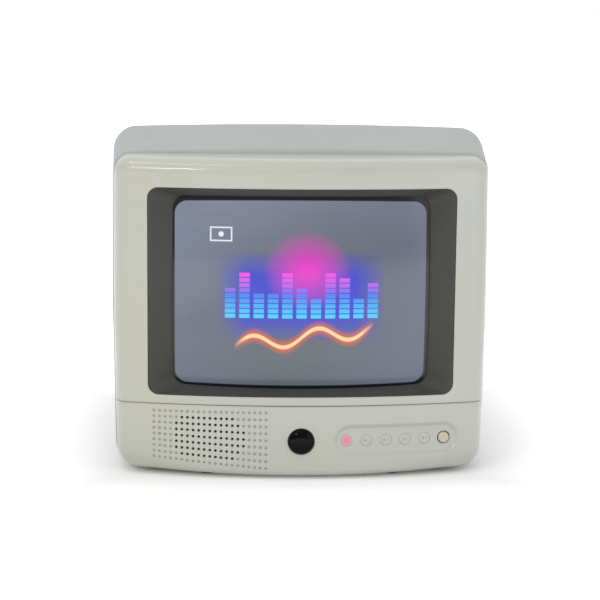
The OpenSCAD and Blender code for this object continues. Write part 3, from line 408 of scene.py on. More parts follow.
def rolled_seam(builder, boundary, direction, radius, reach=4 * MM, steps=6):
    """Rounds a boundary line up or down into a seam and on into the cabinet."""
    pts = np.array([tuple(p) for p in boundary])
    run = np.gradient(pts, axis=0)
    inward = np.stack([run[:, 1], -run[:, 0]], 1)
    inward /= np.linalg.norm(inward, axis=1)[:, None]
    if np.sum(inward * (np.array([0, at(FRAME_D)]) - pts[:, :2])) < 0:
        inward = -inward
    rows = []
    for k in range(steps + 1):
        a = math.radians(90 * k / steps)
        back, rise = radius * (1 - math.cos(a)), direction * radius * math.sin(a)
        rows.append([(x + nx * back, y + ny * back, z + rise) for (x, y, z), (nx, ny) in zip(pts, inward)])
    rows.append([(x + nx * reach, y + ny * reach, z) for (x, y, z), (nx, ny) in zip(rows[-1], inward)])
    builder.grid(rows)


def face_outline(rows, seam_steps):
    """Closed outline of a moulding's face, and the part of it that runs along the seam."""
    inner = [(v.x, v.z) for v in rows[-1]]
    seam = line(inner[-1], inner[0], seam_steps)[1:]
    return inner + seam, seam


def seam_edge(rows, seam, depth):
    """The moulding's edge at the seam, from its rear left end round its face to its rear right."""
    across = [Vector((x, at(depth(x, z)), z)) for x, z in seam[::-1]]
    return [row[0] for row in rows] + across + [row[-1] for row in rows][::-1]


# ---- materials


class Nodes:
    """Short names for building one material's nodes."""

    def __init__(self, name):
        self.material = bpy.data.materials.new(name)
        self.material.use_nodes = True
        self.tree = self.material.node_tree
        self.shader = self.tree.nodes["Principled BSDF"]
        self.coords = self.tree.nodes.new("ShaderNodeTexCoord").outputs["Object"]

    def put(self, socket, value):
        if isinstance(value, bpy.types.NodeSocket):
            self.tree.links.new(value, socket)
        elif isinstance(value, tuple) and len(value) == 3 and len(socket.default_value) == 4:
            socket.default_value = (*value, 1)
        else:
            socket.default_value = value

    def math(self, operation, a, b=0.5, c=0.5):
        node = self.tree.nodes.new("ShaderNodeMath")
        node.operation = operation
        for socket, value in zip(node.inputs, (a, b, c)):
            self.put(socket, value)
        return node.outputs[0]

    def product(self, *factors):
        result = factors[0]
        for factor in factors[1:]:
            result = self.math("MULTIPLY", result, factor)
        return result

    def apart(self, value, centre):
        """How far a value is from a centre."""
        return self.math("ABSOLUTE", self.math("SUBTRACT", value, centre))

    def length(self, a, b):
        """Length of the vector (a, b)."""
        return self.math("SQRT", self.math("ADD", self.math("POWER", a, 2), self.math("POWER", b, 2)))

    def split(self):
        node = self.tree.nodes.new("ShaderNodeSeparateXYZ")
        self.put(node.inputs[0], self.coords)
        return node.outputs

    def noise(self, scale, detail=2.0, stretch=None):
        node = self.tree.nodes.new("ShaderNodeTexNoise")
        vector = self.coords
        if stretch:
            mapping = self.tree.nodes.new("ShaderNodeMapping")
            mapping.inputs["Scale"].default_value = stretch
            self.put(mapping.inputs[0], vector)
            vector = mapping.outputs[0]
        self.put(node.inputs["Vector"], vector)
        node.inputs["Scale"].default_value = scale
        node.inputs["Detail"].default_value = detail
        return node.outputs["Fac"]

    def wave(self, scale, axis="Z", distortion=0.0):
        node = self.tree.nodes.new("ShaderNodeTexWave")
        node.bands_direction = axis
        self.put(node.inputs["Vector"], self.coords)
        node.inputs["Scale"].default_value = scale
        node.inputs["Distortion"].default_value = distortion
        return node.outputs["Fac"]

    def cells(self, scale):
        node = self.tree.nodes.new("ShaderNodeTexVoronoi")
        self.put(node.inputs["Vector"], self.coords)
        node.inputs["Scale"].default_value = scale
        return node.outputs["Distance"]

    def mix(self, factor, a, b):
        node = self.tree.nodes.new("ShaderNodeMix")
        node.data_type = "RGBA"
        self.put(node.inputs[0], factor)
        self.put(node.inputs[6], a)
        self.put(node.inputs[7], b)
        return node.outputs[2]

    def span(self, value, low, high, to_low=0.0, to_high=1.0):
        node = self.tree.nodes.new("ShaderNodeMapRange")
        for socket, number in zip(node.inputs, (value, low, high, to_low, to_high)):
            self.put(socket, number)
        return node.outputs[0]

    def soft(self, value, edge, width):
        """1 where value is below edge, fading to 0 over width."""
        return self.span(value, edge, edge + width, 1, 0)

    def bump(self, height, distance):
        node = self.tree.nodes.new("ShaderNodeBump")
        node.inputs["Strength"].default_value = 1.0
        node.inputs["Distance"].default_value = distance
        self.put(node.inputs["Height"], height)
        self.put(self.shader.inputs["Normal"], node.outputs[0])

    def set(self, **values):
        for name, value in values.items():
            self.put(self.shader.inputs[name.replace("_", " ")], value)


def linear(r, g, b):
    """Linear colour of an sRGB colour given from 0 to 255."""
    return tuple(c / 12.92 if c <= 0.04045 else ((c + 0.055) / 1.055) ** 2.4
                 for c in (r / 255, g / 255, b / 255))


def moulded(name, colour, roughness=0.4, grain=900, depth=0.02 * MM, tone=0.05, yellowing_and_painted_light=None,
            gloss=0.0, shine=0.5):
    """Moulded plastic: fine grain, faint cloudiness and, with a yellow tint given, random yellowed patches
    and a painted warm light that grows towards the left side.
    """
    n = Nodes(name)
    dark = tuple(c * (1 - tone) for c in colour)
    base = n.mix(n.span(n.noise(9, 3), 0.35, 0.65), dark, colour)
    if yellowing_and_painted_light:
        # Random yellowed patches of the plastic itself
        patches = n.span(n.noise(14, 2), 0.4, 0.75, 0, 0.4)
        # Painted warm light: the yellow tint grows towards the left side, standing in for light falling
        # from that side
        side = n.span(n.split()[0], 0.12, -0.13, 0, 0.55)
        base = n.mix(n.math("ADD", patches, side), base, yellowing_and_painted_light)
    n.set(Coat_Weight=gloss, Coat_Roughness=0.07, Specular_IOR_Level=shine)
    n.set(Base_Color=base, Roughness=n.span(n.noise(60, 2), 0.3, 0.7, roughness - 0.04, roughness + 0.05))
    n.bump(n.noise(grain, 1), depth)
    return n.material


def metal(name, colour, roughness=0.3, brushed=(1, 1, 40), depth=0.01 * MM):
    n = Nodes(name)
    dull = tuple(c * 0.8 for c in colour)
    streaks = n.noise(120, 3, brushed)
    n.set(Base_Color=n.mix(n.noise(20), dull, colour), Metallic=1.0,
          Roughness=n.span(streaks, 0.3, 0.7, roughness - 0.08, roughness + 0.12))
    n.bump(streaks, depth)
    return n.material


def wound(name, colour, scale=260, axis="Z", roughness=0.4, metallic=0.0):
    """Turns of wire or tape."""
    n = Nodes(name)
    turns = n.wave(scale, axis, 0.4)
    dark = tuple(c * 0.45 for c in colour)
    n.set(Base_Color=n.mix(turns, dark, colour), Roughness=roughness, Metallic=metallic)
    n.bump(turns, 0.15 * MM)
    return n.material


def glass(name, colour, alpha, roughness=0.05):
    n = Nodes(name)
    n.set(Base_Color=n.mix(n.noise(12), tuple(c * 0.9 for c in colour), colour),
          Roughness=n.span(n.noise(40), 0.3, 0.7, roughness, roughness + 0.04),
          Transmission_Weight=1 - alpha, IOR=1.52)
    return n.material


def board(name, colour):
    """Circuit board with tracks of another tone."""
    n = Nodes(name)
    tracks = n.math("GREATER_THAN", n.wave(60, "X", 9), 0.62)
    lighter = tuple(min(1, c * 1.35) for c in colour)
    n.set(Base_Color=n.mix(tracks, colour, lighter), Roughness=0.5)
    n.bump(n.cells(400), 0.05 * MM)
    return n.material


plastic_tone = linear(198, 201, 194)
hood_tone = linear(190, 195, 194)
MATERIALS = {
    # The front's yellow tint gives random yellowed patches and a painted warm light on the left side
    "cabinet_plastic": moulded("cabinet_plastic", plastic_tone, 0.36, tone=0.03,
                               yellowing_and_painted_light=linear(199, 199, 181), gloss=0.45),
    "rear_plastic": moulded("rear_plastic", hood_tone, 0.55, 700, 0.03 * MM),
    "surround_plastic": moulded("surround_plastic", linear(80, 81, 76), 0.5, 1100, 0.03 * MM, shine=0.2),
    "power_button_plastic": moulded("power_button_plastic", linear(206, 204, 176), 0.3, 1200),
    "ir_filter": moulded("ir_filter", (0.004, 0.004, 0.005), 0.1, 300, 0.002 * MM, shine=0.1),
    "rubber": moulded("rubber", (0.022, 0.022, 0.022), 0.75, 1500, 0.05 * MM),
    "black_plastic": moulded("black_plastic", (0.018, 0.018, 0.018), 0.42, 900, 0.03 * MM),
    "black_resin": moulded("black_resin", (0.013, 0.013, 0.013), 0.5, 700, 0.03 * MM),
    "brown_resin": moulded("brown_resin", (0.09, 0.035, 0.012), 0.35, 700),
    "cream_plastic": moulded("cream_plastic", (0.6, 0.55, 0.4), 0.4, 900),
    "red_insulation": moulded("red_insulation", (0.32, 0.012, 0.01), 0.45, 500),
    "capacitor_sleeve": moulded("capacitor_sleeve", (0.008, 0.016, 0.085), 0.28, 400),
    "ferrite": moulded("ferrite", (0.03, 0.03, 0.032), 0.6, 500, 0.08 * MM, 0.2),
    "steel": metal("steel", (0.56, 0.57, 0.58), 0.35),
    "dark_steel": metal("dark_steel", (0.06, 0.06, 0.06), 0.5),
    "tinned_steel": metal("tinned_steel", (0.66, 0.66, 0.64), 0.28),
    "aluminium": metal("aluminium", (0.75, 0.76, 0.77), 0.4, (40, 1, 1)),
    "braid": wound("braid", (0.6, 0.55, 0.45), 500, "X", 0.4, 1.0),
    "copper": wound("copper", (0.5, 0.14, 0.04), 400, "Y", 0.3, 0.6),
    "coil_tape": wound("coil_tape", (0.025, 0.025, 0.025), 90, "DIAGONAL", 0.5),
    "coil_tape_yellow": wound("coil_tape_yellow", (0.65, 0.4, 0.03), 150, "Z", 0.35),
    "paper": wound("paper", (0.03, 0.03, 0.03), 160, "X", 0.85),
    "funnel_glass": glass("funnel_glass", (0.02, 0.022, 0.026), 1.0, 0.3),
    "neck_glass": glass("neck_glass", (0.75, 0.85, 0.82), 0.25),
    "board_resin": board("board_resin", (0.3, 0.13, 0.04)),
}


def glow(name, colour, strength, core):
    """Lit lens: brighter towards its middle."""
    n = Nodes(name)
    x, _, z = n.split()
    away = n.length(n.math("SUBTRACT", x, control_at(0)), n.math("SUBTRACT", z, CONTROL_Z))
    fade = n.soft(away, 0, BUTTON_R)
    n.set(Base_Color=n.mix(fade, linear(214, 186, 188), linear(120, 30, 60)), Roughness=0.35,
          Emission_Color=n.mix(fade, colour, core),
          Emission_Strength=n.span(n.math("POWER", fade, 1.2), 0, 1, 0.05, strength))
    n.bump(n.noise(600), 0.01 * MM)
    return n.material


def marked_buttons():
    """Button plastic with small printed signs: a square or wedge, then minus or plus."""
    n = Nodes("button_plastic")
    x, _, z = n.split()
    row = n.math("DIVIDE", n.math("SUBTRACT", x, control_at(0)), CONTROL_PITCH)
    index = n.math("ROUND", row)
    along = n.math("MULTIPLY", n.math("SUBTRACT", row, index), CONTROL_PITCH / MM)
    up = n.math("DIVIDE", n.math("SUBTRACT", z, CONTROL_Z), MM)

    def bar(value, middle, half):
        return n.math("LESS_THAN", n.apart(value, middle), half)

    sign_x, sign_half, stroke = 1.5, 0.8, 0.25
    dash = n.product(bar(along, sign_x, sign_half), bar(up, 0, stroke))
    post = n.product(bar(along, sign_x, stroke), bar(up, 0, sign_half))
    rising = n.math("LESS_THAN", n.math("ABSOLUTE", n.math("MODULO", index, 2)), 0.5)
    sign = n.math("MAXIMUM", dash, n.product(post, rising))
    slope = n.math("MULTIPLY", n.math("ADD", along, 2.4), 0.45)
    wedge = n.product(bar(along, -1.2, 1.1), n.math("LESS_THAN", n.math("ABSOLUTE", up), slope))
    square = n.product(bar(along, -1.3, 0.8), bar(up, 0, 0.8))
    second_pair = n.math("GREATER_THAN", index, 2.5)
    symbol = n.math("MAXIMUM", n.product(square, n.math("SUBTRACT", 1.0, second_pair)),
                    n.product(wedge, second_pair))
    ink = n.product(n.math("MAXIMUM", sign, symbol), 0.5)
    plain = n.mix(n.noise(60), tuple(c * 0.97 for c in plastic_tone), plastic_tone)
    n.set(Base_Color=n.mix(ink, plain, linear(120, 124, 124)), Roughness=0.38,
          Coat_Weight=0.3, Coat_Roughness=0.1)
    n.bump(n.noise(1200), 0.015 * MM)
    return n.material


MATERIALS["button_plastic"] = marked_buttons()
MATERIALS["lamp_lens"] = glow("lamp_lens", (1.0, 0.14, 0.34), 0.8, (1.0, 0.13, 0.36))


# The picture's functions measure in millimetres from the middle of the tube


def raster(n, x, z):
    """Grey light of the raster, bluer at the sides and paler towards the upper left."""
    side = n.span(n.apart(x, -8), 20, 95)
    light = n.mix(side, linear(92, 98, 106), linear(100, 105, 124))
    high = n.math("SUBTRACT", z, n.math("MULTIPLY", x, 0.35))
    light = n.mix(n.span(high, 10, 90, 0, 0.8), light, linear(138, 146, 168))
    clouds = n.span(n.noise(14, 4, (1, 1, 2.5)), 0.4, 0.7, 0, 0.3)
    return n.mix(clouds, light, linear(108, 113, 124))


def level_bars(n, x, z):
    """Where the row of level bars is lit, each cut into blocks, and its colour."""
    pitch, count, step, foot = 11.0, 11, 4.0, -19
    along = n.math("DIVIDE", n.math("ADD", x, pitch * count / 2), pitch)
    within = n.apart(n.math("FRACT", along), 0.5)
    swing = n.math("SINE", n.math("MULTIPLY", n.math("FLOOR", along), 1.9))
    level = n.math("ADD", n.math("MULTIPLY", swing, 12), 24)
    top = n.math("MULTIPLY", n.math("CEIL", n.math("DIVIDE", level, step)), step)
    height = n.math("SUBTRACT", z, foot)
    in_block = n.apart(n.math("FRACT", n.math("DIVIDE", height, step)), 0.5)
    block = n.product(n.soft(within, 0.34, 0.05), n.soft(n.math("MULTIPLY", height, -1), 0, 0.4),
                      n.math("LESS_THAN", n.apart(along, count / 2), count / 2),
                      n.math("LESS_THAN", height, top), n.soft(in_block, 0.38, 0.05))
    tint = n.mix(n.span(height, 2, 20), linear(60, 205, 250), linear(40, 110, 240))
    return block, n.mix(n.span(height, 18, 36), tint, linear(255, 60, 225))


def warm_ribbon(n, x, z):
    """How far a point is from the ribbon below the bars, and how much of it shows there."""
    crest = n.math("MULTIPLY", n.math("SINE", n.math("DIVIDE", x, 8)), 6)
    course = n.math("ADD", crest, n.math("MULTIPLY", x, 0.12))
    off = n.math("ABSOLUTE", n.math("SUBTRACT", n.math("ADD", z, 34), course))
    return off, n.soft(n.apart(x, 2), 44, 10)


def lit_area(n, x, z):
    """1 inside the lit area, whose upper and lower edges bow, and 0 on the dark border."""
    half_w, half_h, corner, bow = 97, 72.2, 9.5, 1.5
    bowed = n.math("MULTIPLY", n.math("POWER", n.math("DIVIDE", x, half_w), 2), bow)
    inset_x = n.math("MAXIMUM", n.math("SUBTRACT", n.apart(x, -0.6), half_w - corner), 0)
    inset_z = n.math("MAXIMUM",
                     n.math("SUBTRACT", n.math("ADD", n.apart(z, -0.2), bowed), half_h - corner), 0)
    return n.soft(n.length(inset_x, inset_z), corner - 0.4, 0.8)


def lit_picture():
    """Glass of the tube with its lit picture: a row of level bars over a glow."""
    n = Nodes("screen_glass")
    x, _, z = n.split()
    x = n.math("DIVIDE", x, MM)
    z = n.math("DIVIDE", n.math("SUBTRACT", z, TUBE_Z), MM)

    def distance(cx, cz, flat=1.0):
        return n.length(n.math("SUBTRACT", x, cx),
                        n.math("MULTIPLY", n.math("SUBTRACT", z, cz), flat))

    picture = raster(n, x, z)
    # Blue haze with a magenta glow above it
    haze = n.product(n.soft(n.apart(x, 0), 42, 24), n.soft(n.apart(z, -2), 16, 20))
    picture = n.mix(haze, picture, linear(40, 52, 200))
    picture = n.mix(n.soft(distance(4, 19, 1.1), 4, 30), picture, linear(230, 36, 196))
    block, tint = level_bars(n, x, z)
    picture = n.mix(block, picture, tint)
    off, reach = warm_ribbon(n, x, z)
    picture = n.mix(n.product(n.soft(off, 1.5, 5), reach), picture, linear(214, 96, 40))
    picture = n.mix(n.product(n.soft(off, 1.2, 0.8), reach), picture, linear(252, 214, 160))
    # Small white frame with a dot, up in the left corner
    white, frame_x, frame_z = linear(240, 240, 248), -62, 46
    edge = n.math("MAXIMUM", n.math("SUBTRACT", n.apart(x, frame_x), 8),
                  n.math("SUBTRACT", n.apart(z, frame_z), 5))
    picture = n.mix(n.soft(n.math("ABSOLUTE", edge), 0.35, 0.4), picture, white)
    picture = n.mix(n.soft(distance(frame_x, frame_z), 1.7, 0.6), picture, white)
    scan_lines = n.span(n.math("SINE", n.math("MULTIPLY", z, 5.4)), -1, 1, 0.94, 1.0)
    n.set(Base_Color=(0.006, 0.007, 0.012), Roughness=0.2, Emission_Color=picture,
          Emission_Strength=n.product(lit_area(n, x, z), scan_lines), IOR=1.45,
          Coat_Weight=0.2, Coat_Roughness=0.06)
    return n.material


MATERIALS["screen_glass"] = lit_picture()

SLOTS = {part["node"]: part["material_slot"] for part in frame["record"]["subparts"]}

for node_name, node in frame["nodes"].items():
    for slot in node.material_slots:
        slot.material = MATERIALS[SLOTS[node_name]]


# ---- front frame


def frame_top(x, depth):
    """Height of the front frame's upper surface."""
    rise = 0.0985 * (depth - frame_depth(x, 0))
    return min(FACE_TOP + rise, FRAME_TOP)


def over_outline(top_of, steps=20):
    """Open outline from the seam at the left, over the top, to the seam at the right."""
    low = SEAM + SEAM_GAP + FRAME_LIP
    z1 = top_of(0)
    side = [(half_width(z, FRAME_HW), z) for z in np.linspace(low, z1 - TOP_CORNER, 24)]
    cx = half_width(z1, FRAME_HW) - TOP_CORNER
    right = side[:-1] + [(x, z + top_of(x) - z1) for x, z in
                         arc(cx, z1 - TOP_CORNER, TOP_CORNER, 0, 90, 10)]
    left = [(-x, z) for x, z in right]
    across = [(x, top_of(x)) for x in np.linspace(-cx, cx, 2 * steps + 1)[1:-1]]
    return left + across + right[::-1]


def front_frame():
    """The upper front moulding with its rolled edges and the screen's opening."""
    front = over_outline(lambda x: FACE_TOP)
    back = over_outline(lambda x: frame_top(x, FRAME_D))
    rows = rolled_rim(front, back, roll_radii(front, TOP_ROLL), FRAME_D, frame_depth, 10)
    b = Builder()
    b.grid(rows)
    outer, seam = face_outline(rows, 44)
    opening = rounded_rect(OPENING_HW, OPENING_LOW, OPENING_HIGH, OPENING_R)
    extra = []
    for amount in (2, 5, 9, 14, 20):
        extra += shift(opening, amount * MM)
    b.pierced(outer, [(opening, 0.5 * MM, WALL + 0.5 * MM, False)], only_inside(extra, [outer]),
              frame_depth)
    rolled_seam(b, seam_edge(rows, seam, frame_depth), -1, FRAME_LIP)
    return b.finish("front_frame", MATERIALS["cabinet_plastic"], "cabinet")


# ---- fascia


def column_x(c):
    return -GRILLE_X - (GRILLE_COLUMNS - 1 - c) * GRILLE_PITCH


def row_z(c, r):
    share = c / (GRILLE_COLUMNS - 1)
    pitch = (4.55 + 0.95 * share) * MM
    return GRILLE_Z - 3.2 * MM * share + ((GRILLE_ROWS - 1) / 2 - r) * pitch


def hole_open(c, r):
    across = abs(c - (GRILLE_COLUMNS - 1) / 2 + 0.2) / 6.4
    up = abs(r - (GRILLE_ROWS - 1) / 2) / 3.95
    return across ** 2.5 + up ** 2.5 <= 1


def stadium(amount, steps=24):
    """Outline of the recess, moved outwards by amount."""
    r = RECESS_R + amount
    x0, x1 = RECESS_X0 + RECESS_R, RECESS_X1 - RECESS_R
    right = arc(x1, CONTROL_Z, r, -90, 90, steps)
    left = arc(x0, CONTROL_Z, r, 90, 270, steps)
    return right + line(right[-1], left[0], 18)[1:] + left + line(left[-1], right[0], 18)[1:]


def fascia_holes():
    """The grille's holes and dimples, and the holes for the controls and the dome."""
    holes = []
    for c in range(GRILLE_COLUMNS):
        for r in range(GRILLE_ROWS):
            through = hole_open(c, r)
            loop = circle(column_x(c), row_z(c, r), HOLE_R, 14)
            holes.append((loop, 0.12 * MM, WALL + 2 * MM if through else DIMPLE_DEPTH, not through))
    for k in range(5):
        loop = circle(control_at(k), CONTROL_Z, BUTTON_R + 0.1 * MM, 40)
        holes.append((loop, 0.06 * MM, CONTROL_HOLE_WALL, False))
    loop = circle(control_at(5), CONTROL_Z, POWER_R + 0.75 * MM, 40)
    holes.append((loop, 0.15 * MM, CONTROL_HOLE_WALL, False))
    holes.append((circle(0, CONTROL_Z, DOME_R + 0.3 * MM, 64), 0.3 * MM, WALL, False))
    return holes


def fascia():
    """The lower front moulding with its grille, recess and windows."""
    cx, cz = FRAME_HW - SIDE_TAPER - LOW_CORNER, BOTTOM + LOW_CORNER
    side = [(half_width(z, FRAME_HW), z) for z in np.linspace(SEAM - FASCIA_LIP, cz, 12)]
    right = side[:-1] + arc(cx, cz, LOW_CORNER, 0, -90, 14)
    left = [(-x, z) for x, z in right]
    front = left + [(x, bottom_at(x)) for x in np.linspace(-cx, cx, 61)[1:-1]] + right[::-1]
    rows = rolled_rim(front, front, roll_radii(front, UNDER_ROLL), FRAME_D - 1.5 * MM, fascia_depth, 10)
    b = Builder()
    b.grid(rows)
    outer, seam = face_outline(rows, 60)
    holes = fascia_holes()
    extra = []
    for amount in (2.3, 2, 1.6, 1.2, 0.8, 0.4, 0, -0.4, -0.8, -1.2, -1.6, -2, -2.3):
        extra += stadium(amount * MM)
    for x in np.arange(-128, 129, 4) * MM:
        for z in np.concatenate([np.arange(7, 15, 1.1), np.arange(15, 57, 4)]) * MM:
            if abs(stadium_distance(x, z)) > 3.4 * MM:
                extra.append((x, z))
    guard = [outer] + [shift(h[0], 0.5 * MM) for h in holes]
    b.pierced(outer, holes, only_inside(extra, guard), fascia_depth)
    rolled_seam(b, seam_edge(rows, seam, fascia_depth), 1, FASCIA_LIP)
    return b.finish("fascia", MATERIALS["cabinet_plastic"], "cabinet")


# ---- surround


def surround():
    """Dark ring that slopes from the frame's opening to the glass."""
    outer = rounded_rect(OPENING_HW - 0.3 * MM, OPENING_LOW + 0.3 * MM, OPENING_HIGH - 0.3 * MM,
                         OPENING_R, 12, 24)
    inner = window_outline(WINDOW_HW, TUBE_Z - WINDOW_HH, TUBE_Z + WINDOW_HH, WINDOW_R)
    rows = []

    def row(share, forward):
        points = []
        for (ox, oz), (ix, iz) in zip(outer, inner):
            x, z = ox + (ix - ox) * share, oz + (iz - oz) * share
            start = frame_depth(ox, oz) + 0.5 * MM
            end = glass_depth(ix, iz) - 0.8 * MM
            points.append((x, at(start + (end - start) * share + forward), z))
        rows.append(points)

    row(0, 4 * MM)
    row(0, 0.5 * MM)
    row(0.008, 0.12 * MM)
    row(0.03, 0)
    for k in range(1, 7):
        row(0.03 + 0.95 * k / 6, 0)
    row(1, 0.25 * MM)
    row(1.0, 1.4 * MM)
    b = Builder()
    b.grid(rows, closed=True)
    return b.finish("surround_ring", MATERIALS["surround_plastic"], "cabinet", 50)


# ---- glass


def screen_face():
    """Bowed face and rounded rim of the picture tube's panel."""
    hw, hh = WINDOW_HW + GLASS_MARGIN, WINDOW_HH + GLASS_MARGIN
    rows = []
    for roll in np.linspace(0, 90, 7):
        a = math.radians(roll)
        drop = GLASS_EDGE * (1 - math.sin(a))
        inset = GLASS_EDGE * (1 - math.cos(a))
        loop = rounded_rect(hw - inset, TUBE_Z - hh + inset, TUBE_Z + hh - inset,
                            GLASS_CORNER - inset, 10, 20)
        rows.append([(x, at(glass_depth(x, z) + drop), z) for x, z in loop])
    skirt = rounded_rect(hw, TUBE_Z - hh, TUBE_Z + hh, GLASS_CORNER, 10, 20)
    rows.insert(0, [(x, GLASS_HIGH.y, z) for x, z in skirt])
    edge = [(x, z) for x, _, z in rows[-1]]
    for k in range(1, 16):
        share = 1 - k / 16
        rows.append([(x * share, at(glass_depth(x * share, TUBE_Z + (z - TUBE_Z) * share)),
                      TUBE_Z + (z - TUBE_Z) * share) for x, z in edge])
    b = Builder()
    b.grid(rows, closed=True, capped=(False, True))
    return b.finish("screen_face", MATERIALS["screen_glass"], "cabinet", 60)


# ---- controls


def cap(name, x, slot, body):
    """Round cap whose face follows the floor of the recess."""
    b = Builder()
    radius, rim = BUTTON_R, BUTTON_RIM
    profile = [(radius, 7 * MM), (radius, rim), (radius - rim * 0.3, rim * 0.3), (radius - rim, 0)]
    profile += [((radius - rim) * (1 - k / 6), 0) for k in range(1, 7)]
    grid = []
    for r, back in profile:
        loop = circle(x, CONTROL_Z, max(r, 1e-6), 48)
        grid.append([(px, at(fascia_depth(px, CONTROL_Z) + back), pz) for px, pz in loop])
    b.grid(grid, closed=True)
    return b.finish(name, MATERIALS[slot], body, 50)


def power_cap():
    """Cream mains button with an eased rim and a small mark at its middle."""
    x = control_at(5)
    face = fascia_depth(x, CONTROL_Z) - 1.3 * MM
    b = Builder()
    r = POWER_R
    b.lathe([(r, 9 * MM), (r, 0.9 * MM), (r - 0.12 * MM, 0.4 * MM), (r - 0.45 * MM, 0.1 * MM),
             (r - 0.9 * MM, 0), (r * 0.5, 0.12 * MM), (0.7 * MM, 0.16 * MM), (0.55 * MM, 0.45 * MM),
             (0, 0.5 * MM)], (x, at(face), CONTROL_Z), (0, 1, 0))
    return b.finish("power_cap", MATERIALS["power_button_plastic"], "mains_button", 50)


def dome():
    """Glossy dome over the remote control receiver."""
    r = DOME_R
    proud = at(0) - DOME_LOW.y
    profile = [(r, 4.3 * MM + proud), (r, proud + 0.4 * MM)]
    for k in range(1, 15):
        a = math.radians(90 * k / 14)
        profile.append((r * math.cos(a) ** 0.85 if k < 14 else 0, proud * (1 - math.sin(a) ** 0.9)))
    b = Builder()
    b.lathe(profile, (0, DOME_LOW.y, CONTROL_Z), (0, 1, 0), 72)
    return b.finish("remote_dome", MATERIALS["ir_filter"], "cabinet", 60)


# ---- rear cabinet

TAPER_D = 140 * MM
GRIP_HW = 60 * MM
GRIP_D0 = REAR_D - 83 * MM
GRIP_D1 = REAR_D - 53 * MM
GRIP_Z = HOOD_TOP - 52 * MM
CREST_D = FRAME_D + 58 * MM
REAR_HW = HOOD_HW - 44.5 * MM
REAR_TOP = HOOD_TOP - 51 * MM
LIP_Z = FRAME_TOP + 4 * MM
CROWN = 2 * MM
WELL_R = 4.2 * MM
WELL_D0 = FRAME_D + 14 * MM
SOCKET_WALL = 20 * MM
SOCKET_GAP = 0.3 * MM
PAST = 5 * MM


def hood_sections():
    """Rows of depth, half width, lowest and highest z, upper and lower corner radius.

    Each row below has a base and an offset for the depth and for the half width, the
    bottom's offset, a base and an offset for the top, and the radii. Offsets and radii
    are in millimetres.
    """
    rows = (
        (FRAME_D, 0.3, LIP_HW, -0.9, 0, LIP_Z, -0.9, 13.6, 17),
        (FRAME_D, 0.45, LIP_HW, -0.5, 0, LIP_Z, -0.45, 13.9, 17),
        (FRAME_D, 0.8, LIP_HW, -0.2, 0, LIP_Z, -0.15, 14.2, 17),
        (FRAME_D, 1.3, LIP_HW, 0, 0, LIP_Z, 0, 14.5, 17),
        (CREST_D, -12, HOOD_HW, -0.3, 0, HOOD_TOP, -2.2, 17.2, 17),
        (CREST_D, -4, HOOD_HW, -0.05, 0, HOOD_TOP, -0.5, 17.9, 17),
        (CREST_D, 4, HOOD_HW, 0, 0, HOOD_TOP, -0.3, 18.3, 17),
        (TAPER_D, -10, HOOD_HW, -1, 0, HOOD_TOP, -3.4, 20.5, 17),
        (TAPER_D, 10, HOOD_HW, -4.8, 0, HOOD_TOP, -8, 21.5, 17.3),
        (REAR_D, -22, REAR_HW, 6.2, 0, REAR_TOP, 8, 25.8, 19),
        (REAR_D, -9, REAR_HW, 2.2, 0, REAR_TOP, 3.2, 26, 20),
        (REAR_D, -3, REAR_HW, -0.8, 2.4, REAR_TOP, -0.6, 24, 18),
        (REAR_D, 0, REAR_HW, -5, 7, REAR_TOP, -5, 20, 14))
    return np.array([(depth + a * MM, hw + b * MM, BOTTOM + c * MM, top + d * MM, upper * MM, lower * MM)
                     for depth, a, hw, b, c, top, d, upper, lower in rows])


HOOD_SECTIONS = hood_sections()
TOP_COLUMN = 3


def hood_at(depth, column):
    return float(np.interp(depth, HOOD_SECTIONS[:, 0], HOOD_SECTIONS[:, column]))


def hood_ring(depth, inset):
    """Outline of the rear cabinet at a depth, with crowned top and full sides."""
    hw, z0, z1, r1, r0 = (hood_at(depth, j) for j in range(1, 6))
    hw, z0, z1 = hw - inset, z0 + inset, z1 - inset
    r1, r0 = r1 - inset, r0 - inset
    cx, shoulder = hw - TOP_TAPER - r1, z1 - CROWN
    right = arc(hw - SIDE_TAPER - r0, z0 + r0, r0, -90, 0, 10)
    middle = (hw, (z0 + z1) / 2)
    right += line(right[-1], middle, 8)[1:]
    right += line(middle, (hw - TOP_TAPER, shoulder - r1), 8)
    right += arc(cx, shoulder - r1, r1, 0, 90, 12)
    right += [(cx * k / 12, z1 - CROWN * (k / 12) ** 2) for k in range(11, 0, -1)]
    left = [(-x, z) for x, z in right[::-1]]
    loop = right + [(0, z1)] + left
    loop += line(left[-1], right[0], 20)[1:]
    return [(x, at(depth), z) for x, z in loop]


def solid(name, blocks):
    """Closed mesh of one or more solids, each given as closed rows."""
    b = Builder()
    for rows in blocks:
        b.grid(rows, closed=True, capped=(True, True))
    bmesh.ops.triangulate(b.bm, faces=[f for f in b.bm.faces if len(f.verts) > 4])
    return b.finish(name, MATERIALS["rear_plastic"], "cabinet")


def box_rows(x0, x1, d0, d1, z0, z1):
    corners = ((x0, z0), (x1, z0), (x1, z1), (x0, z1))
    return [[(x, at(d), z) for x, z in corners] for d in (d0, d1)]


def rod_rows(x, z, r, d0, d1, steps=32):
    return [[(px, at(d), pz) for px, pz in circle(x, z, r, steps)] for d in (d0, d1)]


def well_places():
    """Middles of the four screw wells."""
    places = [(FRAME_HW - 14 * MM, FRAME_TOP - 20 * MM), (FRAME_HW - 11.5 * MM, BOTTOM + 13.5 * MM)]
    return [(s * x, z) for s in (-1, 1) for x, z in places]


def slot_rows(x, half, d0, d1, z0, z1):
    return box_rows(x - half, x + half, d0, d1, z0, z1)


def rear_hole(x, z, radius):
    """Round hole through the back for a socket or the cord's gland."""
    return rod_rows(x, z, radius, REAR_D - SOCKET_WALL, REAR_D + PAST)


